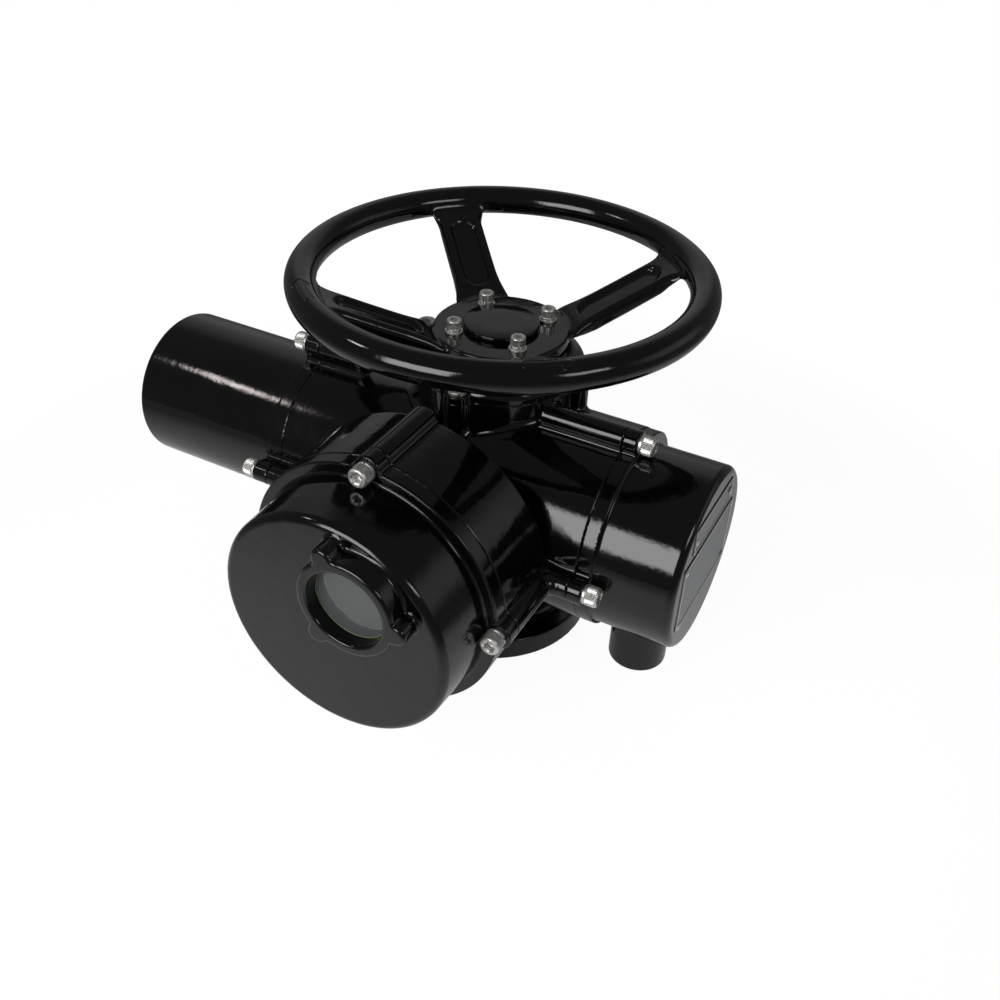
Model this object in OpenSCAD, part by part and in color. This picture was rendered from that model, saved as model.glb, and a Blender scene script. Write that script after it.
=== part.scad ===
// Electric multi-turn valve actuator. Millimetres.
// The origin is the middle of the mounting face at the foot. The drive and the handwheel turn on Z.
// Motor and terminal box lie along X, the control unit faces the front, minus Y.

/* [Housing] */
// Height of the motor, terminal box and control unit axes over the mounting face
axis_h = 126; // [124:1:130]
// Distance of the motor and terminal box axis in front of the drive axis
barrel_off = 29.3; // [28:0.1:30]
// Radius of the mounting flange
base_r = 75; // [72:1:80]
// Thickness of the mounting flange
base_h = 17.5; // [17:0.5:19]
// Wall of the upright column around the drive
column_wall = 7.2; // [6:0.2:9]
// Height of the joint between the column and the top cover over the axes
neck_rise = 80; // [79:0.5:82]
// Wall of the barrel that carries the motor
motor_wall = 6; // [5:0.5:8]
// Distance of the motor joint from the drive axis
motor_seam = 124; // [122:1:128]
// Outer radius of the barrel that carries the terminal box
term_barrel_r = 64; // [63.5:0.5:66]
// Distance of the terminal box joint from the drive axis
term_seam = 105.5; // [104:0.5:108]
// Outer radius of the control drum
drum_r = 87; // [86:0.5:90]
// Distance of the control cover joint from the drive axis
drum_seam = 149; // [146:1:152]
// Distance of the back face of the control drum from the drive axis
drum_back = 95; // [94:0.5:97]

/* [Covers] */
// Thickness of the flange of the control cover
cover_flange = 10.8; // [10:0.1:12]
// Step from the motor barrel in to its cover
motor_cover_step = 2.7; // [2:0.1:4]
// Distance of the end of the motor cover from the drive axis
motor_end = 256.6; // [250:0.1:270]
// Step from the terminal barrel in to its cover
term_cover_step = 2.3; // [1.5:0.1:3]
// Distance of the face of the terminal cover from the drive axis
term_end = 168.5; // [162:0.5:175]
// Step from the control drum in to its cover
control_cover_step = 7; // [6:0.5:8]
// Distance of the face of the control cover from the drive axis
control_end = 203; // [198:1:208]
// Height of the top of the top cover over its joint
top_cover_h = 16.8; // [16:0.1:17.5]

/* [Window and plates] */
// Direction of the window from the middle of the control cover, in degrees over the X axis
window_angle = 59.3; // [40:0.1:90]
// Distance between the window frame and the side of the control cover
window_edge = 7.9; // [7:0.1:12]
// Outer radius of the window frame
window_r = 32; // [30:0.5:34]
// How far the window frame stands out of the cover
window_out = 14; // [10:1:16]
// Width of the large rating plate
plate_w = 90; // [80:1:92]
// Height of the large rating plate
plate_h = 50; // [44:1:52]

/* [Cable entry] */
// Distance of the cable entry from the flange of the terminal cover
entry_place = 17.8; // [17:0.1:24]
// Outer radius of the cable entry
entry_r = 20; // [18:0.5:21]
// Height of the lower end of the cable entry
entry_z = 25.5; // [22:0.5:32]
// Thread radius of the cable entry
entry_thread_r = 12.5; // [10:0.5:12.5]

/* [Handwheel] */
// Outer radius of the handwheel
wheel_r = 138; // [130:1:142]
// Thickness of the rim
rim_d = 19.5; // [18:0.5:21]
// Height of the middle of the rim over the joint of the top cover
rim_rise = 62.5; // [60:0.5:64]
// Radius of the hub plate
hub_r = 45; // [44:0.5:46]
// Width of the spokes
spoke_w = 31; // [28:0.5:33]
// Angle of the first spoke from the X axis, in degrees
spoke_angle = 46.5; // [30:0.5:60]
// Radius of the hub cap
cap_r = 25.4; // [24.5:0.1:26]

/* [Mounting] */
// Distance of the mounting screws from the edge of the foot
mount_edge = 12.5; // [11:0.5:14]
// Radius of the mounting thread
mount_thread_r = 6; // [5:0.5:6]
// Radius of the register recess in the mounting face
register_r = 42.5; // [42:0.5:44]
// Radius of the bore of the drive bush
drive_bore_r = 14; // [10:0.5:15]

/* [Gears] */
// Module of the reduction gears
spur_m = 1.5; // [1.4:0.02:1.5]
// Teeth of the pinion on the motor
pinion_teeth = 14; // [13:1:14]
// Teeth of the reduction gear on the worm shaft
gear_teeth = 24; // [23:1:24]

/* [Hidden] */
$fn = 96;
// Clearances: pieces that sit in one another, and pieces that turn in one another
seat_gap = 0.02;
run_gap = 0.05;
// Gear geometry
worm_m = 3;
wheel_teeth = 30;
wheel_pitch_r = worm_m * wheel_teeth / 2;
pinion_pitch_r = spur_m * pinion_teeth / 2;
gear_pitch_r = spur_m * gear_teeth / 2;
worm_y = barrel_off + pinion_pitch_r + gear_pitch_r;
worm_pitch_r = worm_y - wheel_pitch_r;
worm_pitch = PI * worm_m;
worm_out_r = worm_pitch_r + worm_m;
worm_root_r = worm_pitch_r - 1.2 * worm_m;
gear_room_r = pinion_pitch_r + 2 * gear_pitch_r + spur_m + 1;
motor_in = gear_room_r + 2;
motor_barrel_r = motor_in + motor_wall;
motor_circle = motor_barrel_r + 11;
column_in = wheel_pitch_r + worm_m + 1.8;
column_r = column_in + column_wall;
neck_z = axis_h + neck_rise;
worm_turns = 5;
worm_slices = 16;
worm_bearing_r = worm_out_r + 0.4;
worm_journal_r = worm_root_r - 1.2;
motor_journal_r = 7.5;
motor_bearing_r = 16;
motor_bearing_h = 10;
rotor_r = 30;
stator_z = motor_seam + 26;
stator_len = motor_end - stator_z - 41.6;
// Cover screws and hub screws
screw_r = 4;
head_r = 6.5;
head_h = 8;
washer_r = 6.4;
washer_h = 2;
screw_in = 16;
screw_len = 25;
motor_flange = cover_flange + 0.7;
term_flange = cover_flange - 1.1;
top_flange = 5;
hub_thread_r = 3;
hub_head_r = 5;
hub_head_h = 6;
hub_washer_h = 1.6;
hub_stack = 2 * hub_washer_h;
hub_screw_circle = cap_r + 7.1;
// Bosses for the cover screws
drum_boss_r = 9;
motor_boss_r = 7.5;
term_boss_r = 8;
neck_boss_r = 8;
drum_circle = drum_r - 0.5;
term_circle = term_barrel_r + 6;
neck_circle = column_r;
mount_circle = base_r - mount_edge;
// Directions of the terminal cover's screws from straight down: the lowest one stands clear of the cable entry
term_turns = [32, 90, 180, 270];
boss_out = 31;
// Walls and cavities
wall = 5;
motor_r = motor_barrel_r - motor_cover_step;
term_r = term_barrel_r - term_cover_step;
control_r = drum_r - control_cover_step;
entry_x = term_seam + term_flange + entry_place;
drum_in = drum_r - 8;
motor_deep = 75;
shield_t = 8;
term_in = term_barrel_r - 7.5;
term_wall = 66;
term_step = 80;
oring_r = 1.35;
// Drive line heights
bearing_z = 16;
bearing_h = 16;
bearing_out_r = 45;
sleeve_low_r = 30;
sleeve_mid_r = 36;
sleeve_r = 28;
sleeve_pilot_r = 20;
sleeve_bottom = 4;
sleeve_step = bearing_z + bearing_h + 0.2;
wheel_seat = axis_h - 22;
wheel_t = 20;
wheel_face = 10;
wheel_dog_z = axis_h + wheel_t / 2;
circlip_z = wheel_dog_z + 0.4;
dog_h = 5;
dog_in = 32;
dog_out = 40;
clutch_z = wheel_dog_z + 14;
clutch_h = 12;
hand_bottom = clutch_z + clutch_h + dog_h + 0.3;
bush_r = 22;
bush_h = 60;
stem_r = 15;
// Hand drive and top cover
hand_tube_r = 34;
top_z = neck_z + top_cover_h;
top_bearing_z = neck_z - 15;
top_bearing_h = 14;
top_bearing_out_r = 44;
top_seal_z = neck_z + 1;
top_seal_r = 42;
hub_t = 8;
hub_bottom = top_z + 1.5;
hub_top = hub_bottom + hub_t;
cap_h = 4;
rim_z = neck_z + rim_rise;
rim_r = wheel_r - rim_d / 2;
channel_r = spoke_w / 2 - 6.5;
// Control unit
window_x = (control_r - window_r - window_edge) * cos(window_angle);
window_z = (control_r - window_r - window_edge) * sin(window_angle);
glass_r = window_r - 4;
glass_t = 6;
sight_r = glass_r - 2.9;
ear_circle = window_r + 1;
ear_r = 7;
ear_angle = -6.5;
board_z = drum_seam - 14;
board_r = drum_in - 6;
board_circle = board_r - 8;
display_w = 50;
display_h = 36;
display_z = control_end - 9.5;
display_t = 10;
// Terminal cover and its plates
plate_t = 0.6;
small_plate_w = 68;
small_plate_h = 19;
plate_mid_z = axis_h - 2.5;
small_plate_z = plate_mid_z + plate_h / 2 + 4 + small_plate_h / 2;
plate_mid_y = -barrel_off - 1.5;

// Local Z points along X, minus X or minus Y
module on_x() { translate([0, -barrel_off, axis_h]) rotate([0, 90, 0]) children(); }
module on_motor() { translate([0, -barrel_off, axis_h]) rotate([0, -90, 0]) children(); }
module on_worm() { translate([0, -worm_y, axis_h]) rotate([0, 90, 0]) children(); }
module on_front() { translate([0, 0, axis_h]) rotate([90, 0, 0]) children(); }
module at_window() { on_front() translate([window_x, window_z, 0]) children(); }
module ring4(r, turns = [0, 90, 180, 270]) { for (a = turns) rotate([0, 0, a]) translate([r, 0, 0]) children(); }
module board_places() { rotate([0, 0, 15]) ring4(board_circle) children(); }
module tube(ro, ri, h) {
    difference() {
        cylinder(r = ro, h = h);
        translate([0, 0, -1]) cylinder(r = ri, h = h + 2);
    }
}
// A round boss with a web that ties it to the casting inside it
module boss(r, circle, h, turns = [0, 90, 180, 270]) {
    ring4(circle, turns) {
        cylinder(r = r, h = h);
        translate([-r - 6, -r + 0.6, 0]) cube([r + 6, 2 * r - 1.2, h]);
    }
}
// Raised pad at the upper back of the terminal barrel
module term_pad(h) { rotate([0, 0, 132]) translate([30, 0, 0]) cylinder(r = term_barrel_r - 24, h = h); }
// A body of revolution with a rounded end, from z0 to z1
module round_end(r0, r1, z0, z1, fillet) {
    rotate_extrude() polygon(concat([[0, z0], [r0, z0]],
        [for (i = [0:6]) [r1 - fillet + fillet * cos(i * 15), z1 - fillet + fillet * sin(i * 15)]], [[0, z1]]));
}
module oring(r) { rotate_extrude() translate([r, 0]) circle(r = oring_r, $fn = 32); }
// A socket head screw: the head stands on z = 0, the shank goes down
module cap_screw(r, hr, hh, len) {
    difference() {
        union() {
            cylinder(r = hr, h = hh);
            translate([0, 0, -len]) cylinder(r = r, h = len + 1);
        }
        translate([0, 0, hh * 0.5]) cylinder(r = hr * 0.52, h = hh, $fn = 6);
    }
}
module cover_screw(len) { translate([0, 0, washer_h]) cap_screw(screw_r, head_r, head_h, len); }
module spring_washer(ro, ri, h) {
    difference() {
        tube(ro, ri, h);
        rotate([0, 0, 20]) translate([0, -0.6, -1]) cube([ro + 1, 1.2, h + 2]);
    }
}

module gearcase_outside() {
    cylinder(r = base_r, h = base_h);
    cylinder(r = column_r, h = neck_z);
    on_motor() cylinder(r = motor_barrel_r, h = motor_seam);
    on_x() cylinder(r = term_barrel_r, h = term_seam);
    on_front() translate([0, 0, drum_back]) cylinder(r = drum_r, h = drum_seam - drum_back);
    on_front() translate([0, 0, 30]) cylinder(r = 50, h = drum_back - 29);
    on_front() translate([0, 0, drum_back]) boss(drum_boss_r, drum_circle, drum_seam - drum_back);
    on_motor() translate([0, 0, motor_seam - boss_out]) boss(motor_boss_r, motor_circle, boss_out);
    on_motor() translate([0, 0, motor_seam - boss_out]) ring4(motor_circle) sphere(r = motor_boss_r, $fn = 48);
    on_x() translate([0, 0, column_r - 2]) boss(term_boss_r, term_circle, term_seam - column_r + 2, term_turns);
    on_x() translate([0, 0, 44]) term_pad(term_seam - 44.3);
    translate([0, 0, axis_h + 10]) ring4(neck_circle) cylinder(r = neck_boss_r, h = neck_z - axis_h - 10);
}
module gearcase() {
    color("#2b2d30") difference() {
        gearcase_outside();
        // Register, seal and bearing seats under the drive
        translate([0, 0, -1]) cylinder(r = register_r, h = 4.5);
        translate([0, 0, -1]) cylinder(r = sleeve_low_r + 1, h = 20);
        translate([0, 0, 6]) cylinder(r = 38, h = 8);
        translate([0, 0, 12]) cylinder(r = sleeve_mid_r, h = 8);
        translate([0, 0, bearing_z]) cylinder(r = bearing_out_r, h = 40);
        translate([0, 0, bearing_z + bearing_h]) cylinder(r = column_in, h = neck_z);
        // Room for the worm, the reduction gears and the motor end shield
        on_worm() translate([0, 0, -motor_deep - 2]) cylinder(r = worm_bearing_r + seat_gap, h = motor_deep + 56);
        on_motor() translate([0, 0, motor_deep]) cylinder(r = gear_room_r, h = motor_seam);
        on_motor() translate([0, 0, motor_seam - shield_t]) cylinder(r = motor_in, h = 20);
        // Terminal room with a step for the terminal board
        on_x() translate([0, 0, term_wall]) cylinder(r = term_in - 7, h = term_seam);
        on_x() translate([0, 0, term_step]) cylinder(r = term_in, h = term_seam);
        on_x() translate([0, 0, term_step - 8]) ring4(term_in - 4) cylinder(r = 2 + seat_gap, h = 20, $fn = 24);
        // Control room
        on_front() translate([0, 0, drum_back + 6]) cylinder(r = drum_in, h = drum_seam);
        on_front() translate([0, 0, drum_back + 2]) board_places() cylinder(r = 2 + seat_gap, h = 9, $fn = 24);
        // Passage for the wires between the terminal room and the control room
        translate([term_wall + 7, -60, axis_h]) rotate([90, 0, 0]) cylinder(r = 5.5, h = drum_back - 50);
        // Screw holes of the covers and of the foot
        on_front() translate([0, 0, drum_seam - screw_in]) ring4(drum_circle) cylinder(r = screw_r + seat_gap, h = 20);
        on_motor() translate([0, 0, motor_seam - screw_in]) ring4(motor_circle) cylinder(r = screw_r + seat_gap, h = 20);
        on_x() translate([0, 0, term_seam - screw_in]) ring4(term_circle, term_turns) cylinder(r = screw_r + seat_gap, h = 20);
        translate([0, 0, neck_z - screw_in]) ring4(neck_circle) cylinder(r = screw_r + seat_gap, h = 20);
        rotate([0, 0, 45]) translate([0, 0, -1]) ring4(mount_circle) cylinder(r = mount_thread_r, h = 15);
    }
}

// Steps of the rounded shoulder of the top cover, inward from its side and down from its top
top_profile = [[0, 13.3], [0.5, 11.6], [1.6, 9.9], [3.1, 8.3], [4.8, 6.9], [6.3, 5.2], [7.6, 3.3], [8.9, 1.5], [10.4, 0.4], [11.5, 0]];
module top_cover() {
    color("#303236") difference() {
        union() {
            rotate_extrude() polygon(concat([[0, neck_z], [column_r, neck_z]],
                [for (p = top_profile) [column_r - p[0], top_z - p[1]]], [[0, top_z]]));
            translate([0, 0, neck_z]) ring4(neck_circle) cylinder(r = neck_boss_r, h = top_flange);
            translate([0, 0, neck_z - 18]) cylinder(r = column_in - seat_gap, h = 20);
        }
        translate([0, 0, neck_z - 20]) cylinder(r = top_bearing_out_r + seat_gap, h = 19);
        translate([0, 0, neck_z - 20]) cylinder(r = hand_tube_r + 2, h = 60);
        translate([0, 0, top_seal_z]) cylinder(r = top_seal_r + seat_gap, h = 40);
        translate([0, 0, top_seal_z + 6]) cylinder(r = hub_r - 1, h = 40);
        translate([0, 0, neck_z - 1]) ring4(neck_circle) cylinder(r = screw_r + 0.3, h = 30);
        translate([0, 0, neck_z + top_flange]) ring4(neck_circle) cylinder(r = head_r + 0.8, h = 30);
        // Groove of the ring
        translate([0, 0, neck_z - 7 - oring_r]) tube(column_in + 1, column_in - 2 * oring_r, 2 * oring_r);
    }
}
module top_cover_oring() { color("#151515") translate([0, 0, neck_z - 7]) oring(column_in - oring_r); }
module top_bearing() { color("#c9ccd0") translate([0, 0, top_bearing_z]) tube(top_bearing_out_r, hand_tube_r + run_gap, top_bearing_h); }
module top_seal() { color("#1d1d1d") translate([0, 0, top_seal_z]) tube(top_seal_r, hand_tube_r + run_gap, 6); }
module base_bearing() { color("#c9ccd0") translate([0, 0, bearing_z]) tube(bearing_out_r - seat_gap, sleeve_low_r + run_gap, bearing_h); }
module base_seal() { color("#1d1d1d") translate([0, 0, 6]) tube(38 - seat_gap, sleeve_low_r + run_gap, 7.9); }

// The casting around the window: a thick ring with three ears, cast in one with the cover
module window_frame() {
    translate([0, 0, control_end - 2]) cylinder(r = window_r, h = window_out + 2);
    translate([0, 0, control_end - 2]) for (a = [0:120:240])
        rotate([0, 0, ear_angle + a]) translate([ear_circle, 0, 0]) cylinder(r = ear_r, h = window_out + 1.6);
}
module control_cover() {
    color("#26282b") difference() {
        union() {
            on_front() translate([0, 0, drum_seam]) cylinder(r = drum_r, h = cover_flange);
            on_front() translate([0, 0, drum_seam]) boss(drum_boss_r, drum_circle, cover_flange);
            on_front() round_end(control_r, control_r - 2.5, drum_seam + 2, control_end, 5);
            on_front() translate([0, 0, drum_seam - 6]) cylinder(r = drum_in - seat_gap, h = 8);
            at_window() window_frame();
        }
        on_front() translate([0, 0, drum_seam - 7]) cylinder(r = control_r - 6, h = control_end - wall - drum_seam + 7);
        on_front() translate([0, 0, drum_seam - 1]) ring4(drum_circle) cylinder(r = screw_r + 0.3, h = 40);
        // Room for the heads where they reach into the wall of the cover
        on_front() translate([0, 0, drum_seam + cover_flange]) ring4(drum_circle) cylinder(r = head_r + 0.5, h = 12);
        on_front() translate([0, 0, drum_seam - 3 - oring_r]) tube(drum_in + 1, drum_in - 2 * oring_r, 2 * oring_r);
        at_window() translate([0, 0, control_end - 20]) cylinder(r = glass_r + seat_gap, h = 20 - wall + glass_t);
        at_window() translate([0, 0, control_end - 20]) cylinder(r = sight_r, h = 60);
        at_window() translate([0, 0, control_end - wall - 1]) for (a = [0:120:240])
            rotate([0, 0, ear_angle + a]) translate([ear_circle, 0, 0]) cylinder(r = 2 + seat_gap, h = 12, $fn = 24);
    }
}
module control_cover_oring() { color("#151515") on_front() translate([0, 0, drum_seam - 3]) oring(drum_in - oring_r); }
module window_glass() { color("#b8c4c8") at_window() translate([0, 0, control_end - wall]) cylinder(r = glass_r, h = glass_t); }
module glass_retainer() {
    color("#8d9095") at_window() translate([0, 0, control_end - wall - 4]) difference() {
        union() {
            cylinder(r = window_r - 1, h = 4);
            for (a = [0:120:240]) rotate([0, 0, ear_angle + a]) translate([ear_circle, 0, 0]) cylinder(r = 5.5, h = 4);
        }
        translate([0, 0, -1]) cylinder(r = 22, h = 6);
        for (a = [0:120:240]) rotate([0, 0, ear_angle + a]) translate([ear_circle, 0, -1]) cylinder(r = 2 + seat_gap, h = 6, $fn = 24);
    }
}
module retainer_screws() {
    color("#b9bcc0") at_window() for (a = [0:120:240])
        rotate([0, 0, ear_angle + a]) translate([ear_circle, 0, control_end - wall - 4]) mirror([0, 0, 1]) cap_screw(2, 3.5, 3.5, 13);
}
module control_board() {
    color("#1f6b3a") on_front() difference() {
        translate([0, 0, board_z]) cylinder(r = board_r, h = 2);
        translate([0, 0, board_z - 1]) board_places() cylinder(r = 2 + seat_gap, h = 4, $fn = 24);
    }
}
module board_pillars() {
    color("#c2a24c") on_front() translate([0, 0, drum_back + 2]) board_places() difference() {
            union() {
                translate([0, 0, 4]) cylinder(r = 4, h = board_z - drum_back - 6);
                cylinder(r = 2, h = 5);
            }
            translate([0, 0, board_z - drum_back - 14]) cylinder(r = 2 + seat_gap, h = 20, $fn = 24);
        }
}
module board_screws() {
    color("#b9bcc0") on_front() translate([0, 0, board_z + 2]) board_places() cap_screw(2, 3.5, 3, 12);
}
module display_pillars() {
    color("#c2a24c") at_window() for (x = [-1, 1], y = [-1, 1])
        translate([x * (display_w / 2 - 6), y * (display_h / 2 - 7), board_z + 2]) cylinder(r = 3, h = display_z - display_t - board_z - 2);
}
module display_module() {
    color("#3c4a4f") at_window() translate([0, 0, display_z - display_t]) {
        translate([-display_w / 2, -display_h / 2, 0]) cube([display_w, display_h, display_t - 2]);
        translate([-display_w / 2 + 3, -display_h / 2 + 3, 0]) cube([display_w - 6, display_h - 6, display_t]);
    }
}
module transformer() {
    color("#6b6f76") on_front() translate([-26, -27, board_z + 2]) {
        translate([-18, -15, 0]) cube([36, 30, 6]);
        translate([-14, -11, 0]) cube([28, 22, 26]);
    }
}

module motor_cover() {
    color("#26282b") on_motor() difference() {
        union() {
            translate([0, 0, motor_seam]) cylinder(r = motor_barrel_r, h = motor_flange);
            translate([0, 0, motor_seam]) boss(motor_boss_r, motor_circle, motor_flange);
            round_end(motor_r, motor_r, motor_seam + 2, motor_end, 4);
        }
        difference() {
            translate([0, 0, motor_seam - 1]) cylinder(r = motor_r - wall, h = motor_end - 6 - motor_seam + 1);
            translate([0, 0, motor_end - 16]) cylinder(r = motor_bearing_r + 6, h = 20);
        }
        translate([0, 0, motor_end - 17]) cylinder(r = motor_bearing_r + seat_gap, h = motor_bearing_h + 1);
        translate([0, 0, motor_seam - 1]) ring4(motor_circle) cylinder(r = screw_r + 0.3, h = 40);
        translate([0, 0, motor_seam - 0.01]) tube(motor_barrel_r - 2.2, motor_barrel_r - 2.2 - 2 * oring_r, 2 * oring_r);
    }
}
module motor_cover_oring() { color("#151515") on_motor() translate([0, 0, motor_seam + oring_r]) oring(motor_barrel_r - 2.2 - oring_r); }
module motor_end_shield() {
    color("#7d8288") on_motor() difference() {
        union() {
            translate([0, 0, motor_seam - shield_t]) cylinder(r = motor_in - seat_gap, h = shield_t);
            translate([0, 0, motor_seam - shield_t]) cylinder(r = motor_bearing_r + 5, h = shield_t + 12);
        }
        translate([0, 0, motor_seam - shield_t - 1]) cylinder(r = motor_journal_r + 1, h = 40);
        translate([0, 0, motor_seam + 1]) cylinder(r = motor_bearing_r + seat_gap, h = 40);
    }
}
module motor_bearings() {
    color("#c9ccd0") on_motor() for (z = [motor_seam + 1.5, motor_end - 16.5])
        translate([0, 0, z]) tube(motor_bearing_r, motor_journal_r + run_gap, motor_bearing_h);
}
module stator_core() { color("#8f9499") on_motor() translate([0, 0, stator_z]) tube(motor_r - wall - seat_gap, rotor_r + 0.6, stator_len); }
module stator_windings() {
    color("#b5651d") on_motor() {
        translate([0, 0, stator_z - 11]) tube(45, 32, 11);
        translate([0, 0, stator_z + stator_len]) tube(45, 32, 11);
    }
}
module motor_shaft() {
    color("#b4b8bd") on_motor() {
        translate([0, 0, motor_seam - shield_t - 16]) cylinder(r = motor_journal_r, h = motor_end - 7 - motor_seam + shield_t + 16);
        translate([0, 0, motor_seam + 12.5]) cylinder(r = 10, h = motor_end - motor_seam - 30);
    }
}
module rotor_core() { color("#a2a6ab") on_motor() translate([0, 0, stator_z]) tube(rotor_r, 10 + seat_gap, stator_len); }

// Straight-flank gear outline: the sum of teeth and gaps leaves room to turn
module gear_2d(m, teeth, slack) {
    pitch_r = m * teeth / 2;
    half = 90 / teeth;
    s = slack / pitch_r * 57.3 / 2;
    polygon([for (i = [0:teeth - 1], p = [[-1.55, pitch_r - 1.25 * m], [-0.95, pitch_r], [-0.45, pitch_r + m],
        [0.45, pitch_r + m], [0.95, pitch_r], [1.55, pitch_r - 1.25 * m]])
        let (a = i * 360 / teeth + p[0] * half - sign(p[0]) * s) [p[1] * cos(a), p[1] * sin(a)]]);
}
// Six dogs of a claw clutch, each twice the given half width
module dogs(h, half, turn) {
    intersection() {
        tube(dog_out, dog_in, h);
        for (a = [0, 60, 120]) rotate([0, 0, turn + a]) translate([-50, -half, -1]) cube([100, 2 * half, h + 2]);
    }
}
module motor_pinion() {
    color("#9a9ea3") on_motor() translate([0, 0, motor_seam - shield_t - 15]) difference() {
        rotate([0, 0, -90]) linear_extrude(height = 12) gear_2d(spur_m, pinion_teeth, 0.3);
        translate([0, 0, -1]) cylinder(r = motor_journal_r + seat_gap, h = 14);
    }
}
// The gap of this gear at the mesh faces a tooth of the pinion
module reduction_gear() {
    color("#a8863f") on_worm() translate([0, 0, -motor_seam + shield_t + 4]) difference() {
        rotate([0, 0, 90 + 180 / gear_teeth]) linear_extrude(height = 10) gear_2d(spur_m, gear_teeth, 0.3);
        translate([0, 0, -1]) cylinder(r = worm_journal_r + seat_gap, h = 12);
    }
}
// Thread of the worm: its cross-section is a cam that the twist carries along the shaft
function worm_flank(u) = let (half = 0.25 - 0.055, t = abs(u - 0.5)) t < half - 0.09 ? worm_out_r
    : t > half + 0.11 ? worm_root_r : worm_out_r - (worm_out_r - worm_root_r) * (t - half + 0.09) / 0.2;
module worm_thread() {
    steps = 36;
    translate([0, 0, -worm_turns * worm_pitch / 2])
        linear_extrude(height = worm_turns * worm_pitch, twist = -360 * worm_turns, slices = worm_slices * worm_turns, $fn = 12)
            polygon([for (i = [0:steps - 1]) worm_flank(i / steps) * [cos(i * 360 / steps), sin(i * 360 / steps)]]);
}
module worm_shaft() {
    color("#b4b8bd") on_worm() {
        rotate([0, 0, worm_turns % 2 == 0 ? -90 : 90]) worm_thread();
        translate([0, 0, -motor_deep + 11]) cylinder(r = worm_root_r - 0.5, h = motor_deep + 30);
        translate([0, 0, -motor_seam + shield_t + 2]) cylinder(r = worm_journal_r, h = motor_seam + 43);
    }
}
module worm_bearings() {
    color("#c9ccd0") on_worm() for (z = [-motor_deep + 0.5, 42.5])
        translate([0, 0, z]) tube(worm_bearing_r, worm_journal_r + run_gap, 10);
}
module worm_wheel() {
    color("#b08d3e") difference() {
        union() {
            translate([0, 0, wheel_seat + 0.2]) cylinder(r = sleeve_mid_r, h = wheel_dog_z - wheel_seat);
            translate([0, 0, axis_h - wheel_t / 2]) cylinder(r = wheel_pitch_r - 1.25 * worm_m, h = wheel_t);
            translate([0, 0, axis_h - wheel_face / 2]) rotate([0, 0, -90 + 180 / wheel_teeth]) linear_extrude(height = wheel_face) gear_2d(worm_m, wheel_teeth, 1.3);
            translate([0, 0, wheel_dog_z - 1]) dogs(4, 7, 0);
        }
        translate([0, 0, wheel_seat - 5]) cylinder(r = sleeve_r + run_gap, h = 60);
    }
}

module drive_sleeve() {
    color("#9da1a6") difference() {
        union() {
            translate([0, 0, sleeve_bottom]) cylinder(r = sleeve_low_r, h = 40);
            translate([0, 0, sleeve_step]) cylinder(r = sleeve_mid_r, h = wheel_seat - sleeve_step);
            translate([0, 0, sleeve_step]) cylinder(r = sleeve_r, h = hand_bottom - 0.8 - sleeve_step);
            translate([0, 0, sleeve_step]) cylinder(r = sleeve_pilot_r, h = hand_bottom + 22 - sleeve_step);
            translate([-sleeve_r - 3, -4, clutch_z - 8]) cube([2 * sleeve_r + 6, 8, hand_bottom - clutch_z + 6]);
        }
        translate([0, 0, 0]) cylinder(r = bush_r, h = bush_h + sleeve_bottom);
        translate([0, 0, circlip_z - seat_gap]) tube(sleeve_r + 6, sleeve_r - 1 - seat_gap, 2 + 2 * seat_gap);
        cylinder(r = stem_r, h = 400);
    }
}
module wheel_circlip() {
    color("#3a3d40") difference() {
        translate([0, 0, circlip_z]) tube(sleeve_r + 3, sleeve_r - 1, 2);
        translate([0, -3, circlip_z - 1]) cube([60, 6, 4]);
    }
}
module drive_bush() {
    color("#b58b3c") difference() {
        translate([0, 0, sleeve_bottom]) cylinder(r = bush_r - seat_gap, h = bush_h);
        cylinder(r = drive_bore_r, h = 400);
        translate([-4, 0, 0]) cube([8, drive_bore_r + 3.3, 400]);
    }
}
module clutch_ring() {
    color("#8b8f95") difference() {
        union() {
            translate([0, 0, clutch_z]) cylinder(r = dog_out, h = clutch_h);
            translate([0, 0, clutch_z - dog_h]) dogs(clutch_h + 2 * dog_h, 6.5, 30);
        }
        translate([0, 0, clutch_z - 20]) cylinder(r = sleeve_r + run_gap, h = 60);
        translate([-sleeve_r - 3.3, -4.3, clutch_z - 20]) cube([2 * sleeve_r + 6.6, 8.6, 60]);
    }
}
module hand_shaft() {
    color("#9da1a6") difference() {
        union() {
            translate([0, 0, hand_bottom - dog_h]) dogs(dog_h + 2, 7, 0);
            translate([0, 0, hand_bottom]) cylinder(r = dog_out, h = 6);
            translate([0, 0, hand_bottom]) cylinder(r = hand_tube_r, h = hub_bottom - hand_bottom);
            translate([0, 0, top_seal_z + 7]) cylinder(r = hub_r - 2, h = hub_bottom - top_seal_z - 7);
        }
        translate([0, 0, hand_bottom - 10]) cylinder(r = sleeve_pilot_r + run_gap, h = 34);
        cylinder(r = stem_r + 2, h = 400);
        rotate([0, 0, spoke_angle]) translate([0, 0, hub_bottom - 9]) ring4(hub_screw_circle) cylinder(r = hub_thread_r + seat_gap, h = 20);
    }
}

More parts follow.
